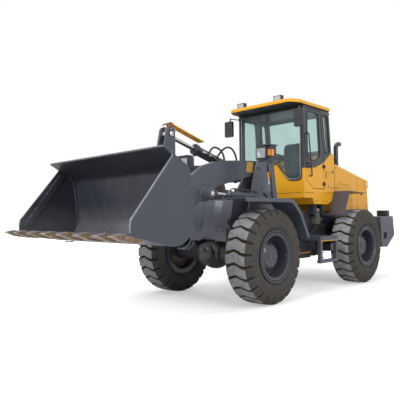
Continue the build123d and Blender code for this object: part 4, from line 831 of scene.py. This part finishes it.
def panel_lines():
    """Gaps between the panels of the hood and the cab, with the locks, latches and bolts along them."""
    hood, cab = Form(), Form()
    hood_runs = (
        [(1268, 1838), (1393, 1824), (1652, 1817), (1730, 1758), (1753, 1580), (1760, 1330)],
        [(1085, 1330), (1085, 2205)],
        [(1100, 1640), (1750, 1652)],
        [(1985, 1330), (1985, 1990)],
    )
    cab_runs = ([(60, 1634), (330, 1636)], [(700, 1642), (1060, 1650)])
    for form, runs in ((hood, hood_runs), (cab, cab_runs)):
        for side in SIDES:
            for run in runs:
                form.tube(side_path(side * (CAB_HALF - 0.6), run, 25, 4), LINE_RADIUS, 6)
    cab.tube([(-640, 29.4, 1634), (640, 29.4, 1634)], LINE_RADIUS, 6)
    cab_bolts = [(850, 2010), (960, 1740), (1040, 1740), (420, 1500), (640, 1490), (780, 1500)]
    hood_bolts = [(1140, 1745), (1140, 2120), (1960, 1380), (2360, 1380), (2360, 1700)]
    hood_bolts += [(1300, 1380), (1700, 1380)]
    cab.side_bolts(CAB_HALF, cab_bolts, 9)
    hood.side_bolts(CAB_HALF, hood_bolts, 9)
    hood.side_block((CAB_HALF, 2150, 1640), (CAB_HALF + 7, 2210, 1680), 3)
    hood.side_block((CAB_HALF, 2162, 1650), (CAB_HALF + 14, 2180, 1670), 3)
    cab.side_block((CAB_HALF - 1, 758, 1905), (CAB_HALF + 5, 782, 2040), 3)
    cab.side_block((CAB_HALF, 996, 2020), (CAB_HALF + 12, 1006, 2050), 3)
    for side in SIDES:
        x = side * CAB_HALF
        cab.turned((x, 1010, 2035), (side, 0, 0), [(24, -2), (24, 4), (18, 8)], 20)
        cab.turned((x, 850, 1760), (side, 0, 0), [(16, -2), (16, 5), (11, 7)], 16)
    hood.finish("hood_lines", "plastic", "hood", "plastic_black")
    cab.finish("cab_lines", "plastic", "rear_frame", "plastic_black")


def cab_crease():
    """The pressed crease below the door, and the rear wiper's motor."""
    crease = Form()
    for side in SIDES:
        ring = []
        for y, z in ((34, 1618), (325, 1620)):
            edge = ((CAB_HALF, -9), (CAB_HALF + 3, 0), (CAB_HALF, 9), (CAB_HALF - 3, 0))
            ring.append([(side * x, y, z + up) for x, up in edge])
        crease.skin(ring)
    crease.finish("cab_crease", "yellow", "rear_frame", "paint_yellow")
    motor = Form()
    motor.turned((640, 905, 3110), (0, 1, 0), [(14, 0), (14, 22), (8, 30)], 16)
    motor.tube([(640, 930, 3110), (640, 1010, 3118)], 5, 8)
    motor.turned((640, 1005, 3118), (0, 1, 0), [(5, 0), (15, 4), (15, 20), (9, 26)], 16)
    motor.finish("rear_wiper_motor", "plastic", "rear_frame", "plastic_black")


def front_frame_trim():
    """Pin locks and bolts on the front frame, and the bolted dome on the axle's nose."""
    bolts = Form()
    y, z = BOOM_PIN
    for side in SIDES:
        for step in range(3):
            angle = math.radians(90 + 120 * step)
            spot = (side * 564, y + 21.6 * math.cos(angle), z + 21.6 * math.sin(angle))
            bolts.bolt(spot, (side, 0, 0), 7)
    bolts.side_block((550, y - 110, z - 15), (562, y - 38, z + 15), 3)
    bolts.side_bolts(560, ((y - 90, z),), 9)
    bolts.side_bolts(550, ((-700, 1430), (-700, 1300), (-700, 1180), (-1180, 1300), (-1210, 1150)), 11)
    bolts.side_bolts(410, ((-1570, 900), (-1310, 900), (-1570, 1000)), 15)
    bolts.side_bolts(668, (LIFT_BASE,), 20)
    for x in (-330, -200, 200, 330):
        bolts.bolt((x, -1636, 1020), (0, -1, 0), 13)
    bolts.side_block((60, -1580, 1180), (120, -1572, 1210), 3)
    bolts.finish("front_frame_bolts", "grey", "front_frame", "paint_grey")
    dome = Form()
    nose = (0, -1704, AXLE_Z)
    cover = [(149, 0), (149, 8), (140, 22), (118, 38), (86, 50), (48, 57), (12, 60)]
    dome.turned(nose, (0, -1, 0), cover, 48)
    dome.turned(nose, (0, 1, 0), [(162, 2), (165, 6), (165, 20), (162, 24)], 48)
    for step in range(10):
        angle = math.radians(36 * step + 18)
        dome.bolt((136 * math.cos(angle), -1724, AXLE_Z + 136 * math.sin(angle)), (0, -1, 0), 9)
    dome.finish("axle_cover", "dark", "front_frame", "paint_grey")


def boom_trim():
    """Weld seams and pin bosses on the boom, and its blank yellow plate."""
    seam = Form()
    top = [(-1100, 2094), (-1309, 2085), (-1805, 2047), (-2003, 2017)]
    top += [(-2254, 1941), (-2514, 1763), (-3050, 1228)]
    for side in SIDES:
        seam.tube(side_path(side * (ARM_FACE - 3), [(y, z - 2) for y, z in top], 90, 5), 3.6, 6)
        for pin, x, out, profile in (
            (LIFT_EYE, ARM_FACE, side, [(84, -2), (84, 4), (74, 12), (72, 12)]),
            (BOOM_PIN, ARM_FACE, side, [(104, -2), (102, 3), (90, 6), (88, 6)]),
            (BUCKET_PIN, ARM_FACE, side, [(92, -2), (90, 4), (82, 8), (80, 8)]),
            (LIFT_EYE, ARM_FACE - 60, -side, [(110, -2), (110, 4), (97, 14), (95, 14)]),
        ):
            seam.turned((side * x, *pin), (out, 0, 0), profile, 36)
    seam.finish("boom_welds", "grey", "boom", "paint_grey")
    plate = Form()
    outline = [(-1283, 1913), (-1267, 2072), (-1112, 2069), (-1135, 1906)]
    plate.plate([(ARM_FACE, y, z) for y, z in outline], (1.8, 0, 0))
    plate.finish("boom_blank_plate", "label", "boom", "paint_yellow")


def rocker_trim():
    """Pin ends, a flat black disc that paints the shade of a dark lifting hole, and a seam on the rocker."""
    pins, hole_shade_and_seam = Form(), Form()
    for side in SIDES:
        pins.turned((side * 88, *TILT_EYE), (side, 0, 0), [(37, 0), (37, 14), (31, 18), (10, 19)], 28)
        pins.turned((side * 98, *LINK_PIN), (side, 0, 0), [(37, 0), (37, 2), (30, 5), (8, 6)], 28)
        # Flat black disc: painted shade standing for the dark of a hole; the tube below is the seam.
        hole_shade_and_seam.turned((side * 88.2, -2470, 2496), (side, 0, 0), [(13, -0.2), (13, 0.6), (12, 0.8)], 20)
        hole_shade_and_seam.tube([(side * 87, -2545, 1978), (side * 87, -2455, 1750)], 2.5, 6)
    pins.side_bolts(88, ((-2450, 2490),), 9)
    pins.finish("rocker_pin_ends", "bright", "rocker", "chrome_rod")
    hole_shade_and_seam.finish("rocker_hole_shade_and_seam", "seal", "rocker", "plastic_black")


def along_tilt(distance, up, x=0.0):
    """A point on the tilt cylinder's line, from the rod's eye towards the base."""
    y = TILT_EYE[0] + distance * math.cos(TILT_SLOPE) + up * math.sin(TILT_SLOPE)
    return Vector((x, y, TILT_EYE[1] - distance * math.sin(TILT_SLOPE) + up * math.cos(TILT_SLOPE)))


def rod_guard_trim():
    """Ribs under the guard that covers the tilt rod, and the clip at its front end."""
    ribs = Form()
    for spot in range(0, 684, 36):
        section = ((0, 152), (9, 152), (9, 143), (0, 143))
        ribs.skin([[along_tilt(spot + a, b, x) for a, b in section] for x in (-56, 56)])
    ribs.finish("guard_ribs", "label", "tilt_rod", "paint_yellow")
    clip = Form()
    section = ((-72, 114), (-28, 166), (20, 166), (20, 172), (-34, 172), (-82, 118))
    clip.skin([[along_tilt(a, b, x) for a, b in section] for x in (-64, 64)])
    for x in (30, -30):
        clip.bolt(along_tilt(0, 170, x), (0, math.sin(TILT_SLOPE), math.cos(TILT_SLOPE)), 11)
    clip.finish("guard_clip", "black", "tilt_rod", "paint_black")


def tilt_barrel_trim():
    """The tilt cylinder's gland with its bolts, its pipes, ports and hoses."""
    direction = along_tilt(1, 0) - along_tilt(0, 0)
    collar = Form()
    mouth = 559
    gland = [(58, 0), (82, 0), (86, 4), (86, 64), (78, 70), (73, 72)]
    collar.turned(along_tilt(mouth, 0), direction, gland, 40)
    collar.turned(along_tilt(mouth - 6, 0), direction, [(40, 0), (52, 0), (54, 8), (40, 8)], 32)
    for step in range(8):
        angle = math.radians(45 * step + 20)
        rise = math.sin(angle)
        across = Vector((math.cos(angle), math.sin(TILT_SLOPE) * rise, math.cos(TILT_SLOPE) * rise))
        collar.bolt(along_tilt(mouth, 0) + across * 69, -direction, 7)
    for x in (66, -66):
        collar.tube([along_tilt(1180, -30, x), along_tilt(640, -30, x)], 11, 10)
    collar.finish("tilt_barrel_gland", "dark", "tilt_barrel", "paint_grey")
    ports = Form()
    for distance, x in ((700, 80), (820, 92)):
        port = [(20, -14), (20, 6), (15, 12), (15, 22)]
        ports.turned(along_tilt(distance, -12, x), (1, 0, 0), port, 20)
        elbow = along_tilt(distance + 20, -12, x + 14)
        ports.turned(elbow, direction, [(17, 0), (17, 34), (13, 42), (13, 130)], 16)
    ports.finish("tilt_ports", "bright", "tilt_barrel", "chrome_rod")
    hoses = Form()
    first = [along_tilt(838, -12, 106) - Vector((0, 60, 0)), (128, -1670, 2256), (150, -1610, 2294)]
    first += [(185, -1520, 2256), (205, -1470, 2164), (214, -1455, 2024)]
    second = [along_tilt(958, -12, 106), (165, -1480, 2240), (205, -1400, 2306)]
    second += [(235, -1310, 2290), (252, -1240, 2190), (262, -1215, 2040)]
    for run in (first, second):
        hoses.tube(smooth(run, 10), 15, 12)
    hoses.finish("tilt_hoses", "seal", "tilt_barrel", "plastic_black")


def lift_cylinders():
    """Each lift cylinder's rod eye, gland, pipe and pipe clips."""
    for side, name in ((1, "left"), (-1, "right")):
        start, stop = Vector((side * LIFT_X, *LIFT_BASE)), Vector((side * LIFT_X, *LIFT_EYE))
        way = (stop - start).normalized()
        gland = Form()
        collar = [(59, 0), (71, 4), (71, 66), (62, 72), (42, 76), (34, 76)]
        gland.turned(start + way * 1030, way, collar, 36)
        bends = ((120, 60), (150, 96), (980, 96), (1010, 62))
        pipe = [start + way * a + Vector((0, 0, b)) for a, b in bends]
        gland.tube(rounded(pipe, 30, 4, closed=False), 9, 10)
        eye = Form()
        sleeve = [(31, 0), (64, 0), (64, 72), (58, 74), (31, 74)]
        eye.turned(stop - Vector((side * 36, 0, 0)), (side, 0, 0), sleeve, 36, closed=True)
        eye.turned(stop - way * 100, way, [(31, 0), (44, 0), (50, 50), (31, 50)], 28, closed=True)
        eye.finish(f"lift_eye_{name}", "grey", f"lift_rod_{name}", "paint_grey")
        for spot in (300, 620, 900):
            clip = start + way * spot
            gland.block(clip + Vector((-14, -12, 54)), clip + Vector((14, 12, 108)), 3)
        gland.finish(f"lift_pipe_{name}", "dark", f"lift_barrel_{name}", "paint_grey")


def bucket_details():
    """Worn bright edges and weld seams on the bucket."""
    edges = Form()
    front = [(-4050, 1085), (-4050, 1148), (-4040, 1220), (-3468, 1915), (-3480, 1955)]
    for side in SIDES:
        rings = []
        for i, (y, z) in enumerate(front):
            before, after = front[max(i - 1, 0)], front[min(i + 1, len(front) - 1)]
            way = Vector((0, after[0] - before[0], after[1] - before[1])).normalized()
            out = Vector((0, -way.z, way.y))
            ring = []
            for inset, rise in ((11, -9), (11, 1.5), (0.5, 1.5), (-0.6, -9)):
                ring.append(Vector((side * (BUCKET_HALF - inset), y, z)) + out * rise)
            rings.append(ring)
        edges.skin(rings)
    edges.block((-1185, -3592, 2008), (1185, -3584, 2017), 2)
    edges.finish("bucket_worn_edges", "worn", "bucket", "chrome_rod")
    seams = Form()
    wrapper = ((-3480, 1955), (-3205, 1800), (-3140, 1330), (-3118, 843), (-4040, 1056))
    for side in SIDES:
        for x, back, up, size in ((BUCKET_HALF + 1, 16, 4, 3.5), (BUCKET_HALF - 32, 40, 12, 8)):
            path = side_path(side * x, [(y - back, z + up) for y, z in wrapper], 300, 12)
            seams.tube(path[:-1], size, 6)
    seams.finish("bucket_welds", "grey", "bucket", "paint_grey")


def frame_fittings():
    """Yellow stripes, fitting caps and pipes on the rear frame."""
    stripes = Form()
    stripes.side_block((530, 70, 585), (531.5, 470, 603), 0.5)
    stripes.side_block((1080, -120, 822), (1081.5, 430, 834), 0.5)
    stripes.finish("yellow_stripes", "yellow", "rear_frame", "paint_yellow")
    caps = Form()
    for y in (570, 640):
        caps.turned((585.3, y, 1325), (0, 0, 1), [(30, 0), (34, 8), (34, 24), (27, 38), (10, 44)], 24)
    for y, z in ((780, 1165), (860, 1172)):
        caps.turned((530, y, z), (1, 0, 0), [(22, 0), (22, 14), (16, 22), (6, 24)], 18)
    caps.finish("fitting_caps", "tan", "rear_frame", "cast_steel")
    pipes = Form()
    runs = [
        [(560, 690, 1180), (600, 760, 1210), (590, 850, 1190), (560, 980, 1180)],
        [(585, 640, 1100), (620, 720, 1050), (600, 860, 1060), (560, 940, 1080)],
    ]
    for offset in (0, 26, 52):
        high = [(560 + offset, 560, 1100), (575 + offset, 500, 1020)]
        runs.append(high + [(570, 430 - offset, 900), (545, 400 - offset, 760)])
    for run in runs:
        pipes.tube(smooth(run, 8), 9, 8)
    for x in (-150, -60, 60, 150):
        pipes.tube(smooth([(x, 345, 1180), (x * 1.1, 240, 1196), (x * 1.2, 170, 1190)], 6), 14, 10)
    pipes.finish("frame_pipes", "seal", "rear_frame", "plastic_black")


def frame_bolts():
    """Bolts on the rear frame, the fenders, the steps and the counterweight."""
    bolts = Form()
    bolts.side_bolts(530, [(y, 1275) for y in (150, 250)], 13)
    bolts.side_bolts(530, [(y, 880) for y in (1200, 1300, 1580, 1680)], 13)
    bolts.side_bolts(640, [(y, 1400) for y in (450, 490, 720, 760)], 10)
    bolts.side_bolts(1080, ((-50, 640), (-50, 560), (410, 640)), 12)
    bolts.side_bolts(1009, ((862, 1278), (962, 1478), (1022, 1598)), 9)
    for x in (-900, -620, 620, 900):
        bolts.bolt((x, 2760, 1050), (0, 0.93, 0.17), 17)
    bolts.finish("rear_frame_bolts", "grey", "rear_frame", "paint_grey")


def steps_and_stands():
    """The steps' mounts and treads, and the headlamp stands' plates and brackets."""
    mounts = Form()
    for y in (-100, 410):
        mounts.side_block((1022, y - 26, 740), (1084, y + 26, 772), 6)
    mounts.finish("step_mounts", "rust", "rear_frame", "cast_steel")
    grips = Form()
    for row in range(9):
        y = -110 + row * 58
        grips.side_block((1016, y, 519), (1076, y + 16, 526), 2)
        grips.side_block((820, y, 899), (1070, y + 16, 905), 2)
    grips.finish("step_treads", "dark", "rear_frame", "paint_grey")
    plates = Form()
    plates.side_block((856, -1222, 1712), (858.5, -1170, 1796), 1)
    plates.finish("lamp_stand_plates", "pale", "front_frame", "paint_grey")
    brackets = Form()
    lower = ((862, -1400, 1640), (866, -1330, 1560), (866, -1220, 1500))
    upper = ((862, -1270, 2040), (868, -1200, 1850), (866, -1120, 1500))
    for side in SIDES:
        for points, bend, size in ((lower, 20, 8), (upper, 30, 9)):
            path = rounded([(side * x, y, z) for x, y, z in points], bend, 4, closed=False)
            brackets.tube(path, size, 8)
        for y in (-1390, -1040):
            brackets.bolt((side * 880, y, 1492), (0, 0, 1), 11)
    brackets.finish("lamp_stand_brackets", "plastic", "front_frame", "plastic_black")


def soft_block(low, high, crown, seams):
    """A crowned cushion: a rounded block whose sides pull in between its corners, with sewn channels."""
    form = Form()
    low, high = Vector(low), Vector(high)
    middle, size = (low + high) / 2, (high - low) / 2
    rows, columns = 40, 96

    def power(value, exponent):
        return math.copysign(abs(value) ** exponent, value)

    rings = []
    for row in range(1, rows):
        tall = math.pi * row / rows - math.pi / 2
        ring = []
        for column in range(columns):
            turn = 2 * math.pi * column / columns
            flat = power(math.cos(tall), 0.42)
            u, v = flat * power(math.cos(turn), 0.34), flat * power(math.sin(turn), 0.34)
            w = power(math.sin(tall), 0.62)
            pull = 1 - 0.035 * (1 - abs(u)) * (1 - w * w)
            u, v = u * pull, v * pull
            top = max(w, 0)
            w -= crown * top * (u * u + v * v) * 0.5
            for seam in seams:
                w -= 0.16 * top * math.exp(-(((u - seam) / 0.035) ** 2))
            ring.append(middle + Vector((u * size.x, v * size.y, w * size.z)))
        rings.append(ring)
    form.skin(rings)
    return form


def seat():
    """The driver's seat: a padded cushion and back on a plain base, in the CAD seat's own room."""
    floor = 1605.3
    cushion = soft_block((-248, 422, floor + 345), (248, 880, floor + 458), 0.16, (-0.56, 0.56))
    piece = cushion.finish("seat_cushion", "fabric", "rear_frame", "seat_fabric", ("seat",), 80)
    back = soft_block((-232, -278, -52), (232, 278, 52), 0.14, (-0.56, 0.56))
    turn = Matrix.Rotation(math.radians(-86), 4, "X")
    for i, point in enumerate(back.points):
        moved = turn @ point
        back.points[i] = Vector((moved.x, 850 + moved.y + moved.z * 0.055, floor + 742 + moved.z))
    piece = back.finish("seat_back", "fabric", "rear_frame", "seat_fabric", ("seat",), 80)
    base = Form()
    base.block((-158, 522, floor), (158, 798, floor + 60), 8)
    for level in range(5):
        grow = 6 if level % 2 else 0
        low = floor + 60 + level * 48
        base.block((-140 - grow, 540 - grow, low), (140 + grow, 780 + grow, low + 46), 8)
    base.block((-240, 430, floor + 300), (240, 890, floor + 348), 12)
    base.side_block((246, 560, floor + 430), (250, 800, floor + 458), 2)
    base.finish("seat_base", "plastic", "rear_frame", "plastic_black", ("seat",))


def studio():
    """A pale floor, a white surround and soft lamps."""
    world = bpy.data.worlds.new("surround")
    bpy.context.scene.world = world
    world.use_nodes = True
    tree = world.node_tree
    back = tree.nodes["Background"]
    path = tree.nodes.new("ShaderNodeLightPath")
    seen = path.outputs["Is Camera Ray"]
    for ray in ("Is Transmission Ray", "Is Glossy Ray"):
        most = tree.nodes.new("ShaderNodeMath")
        most.operation = "MAXIMUM"
        tree.links.new(seen, most.inputs[0])
        tree.links.new(path.outputs[ray], most.inputs[1])
        seen = most.outputs[0]
    strength = tree.nodes.new("ShaderNodeMapRange")
    strength.inputs["To Min"].default_value = 0.50
    strength.inputs["To Max"].default_value = 1.0
    tree.links.new(seen, strength.inputs["Value"])
    tree.links.new(strength.outputs[0], back.inputs["Strength"])
    back.inputs["Color"].default_value = rgba(1, 1, 1)

    bpy.ops.mesh.primitive_plane_add(size=120, location=(0, 0, -0.002))
    floor = bpy.context.object
    floor.name = "floor"
    s = Shader("floor_pale")
    s.set(Roughness=0.9, Specular_IOR_Level=0.1)
    s.bsdf.inputs["Base Color"].default_value = rgba(0.84, 0.84, 0.84)
    light = s.add("ShaderNodeLightPath")
    glow = s.add("ShaderNodeEmission")
    add = s.add("ShaderNodeAddShader")
    away = s.add("ShaderNodeVectorMath", operation="LENGTH")
    s.link(s.place, away.inputs[0])
    strong = s.ramp(away.outputs["Value"], 4.5, 9.0, 0.42, 1.1)
    s.link(s.times(light.outputs["Is Camera Ray"], strong), glow.inputs["Strength"])
    s.link(s.bsdf.outputs[0], add.inputs[0])
    s.link(glow.outputs[0], add.inputs[1])
    s.link(add.outputs[0], s.tree.nodes["Material Output"].inputs["Surface"])
    floor.data.materials.append(s.material)

    lights = (
        ("key", (1.0, -11.5, 7.5), 5.5, 1050),
        ("side", (10.0, -1.5, 6.0), 5.0, 360),
        ("top", (0.0, 1.0, 10.0), 7.0, 240),
        ("back", (-8.0, 8.0, 6.0), 6.0, 300),
    )
    for name, place, size, power in lights:
        data = bpy.data.lights.new(name, "AREA")
        data.size = size
        data.energy = power
        lamp = bpy.data.objects.new(name, data)
        lamp.location = place
        lamp.rotation_euler = (Vector((0, 0, 1.2)) - Vector(place)).to_track_quat("-Z", "Y").to_euler()
        bpy.context.scene.collection.objects.link(lamp)
    bpy.context.scene.view_settings.view_transform = "Standard"


camera()
studio()
dress_nodes()
wheels()
headlamps()
work_lamps()
cab_seals()
visor_and_wiper()
mirrors()
doors()
panel_lines()
cab_crease()
front_frame_trim()
boom_trim()
rocker_trim()
rod_guard_trim()
tilt_barrel_trim()
lift_cylinders()
bucket_details()
frame_fittings()
frame_bolts()
steps_and_stands()
seat()
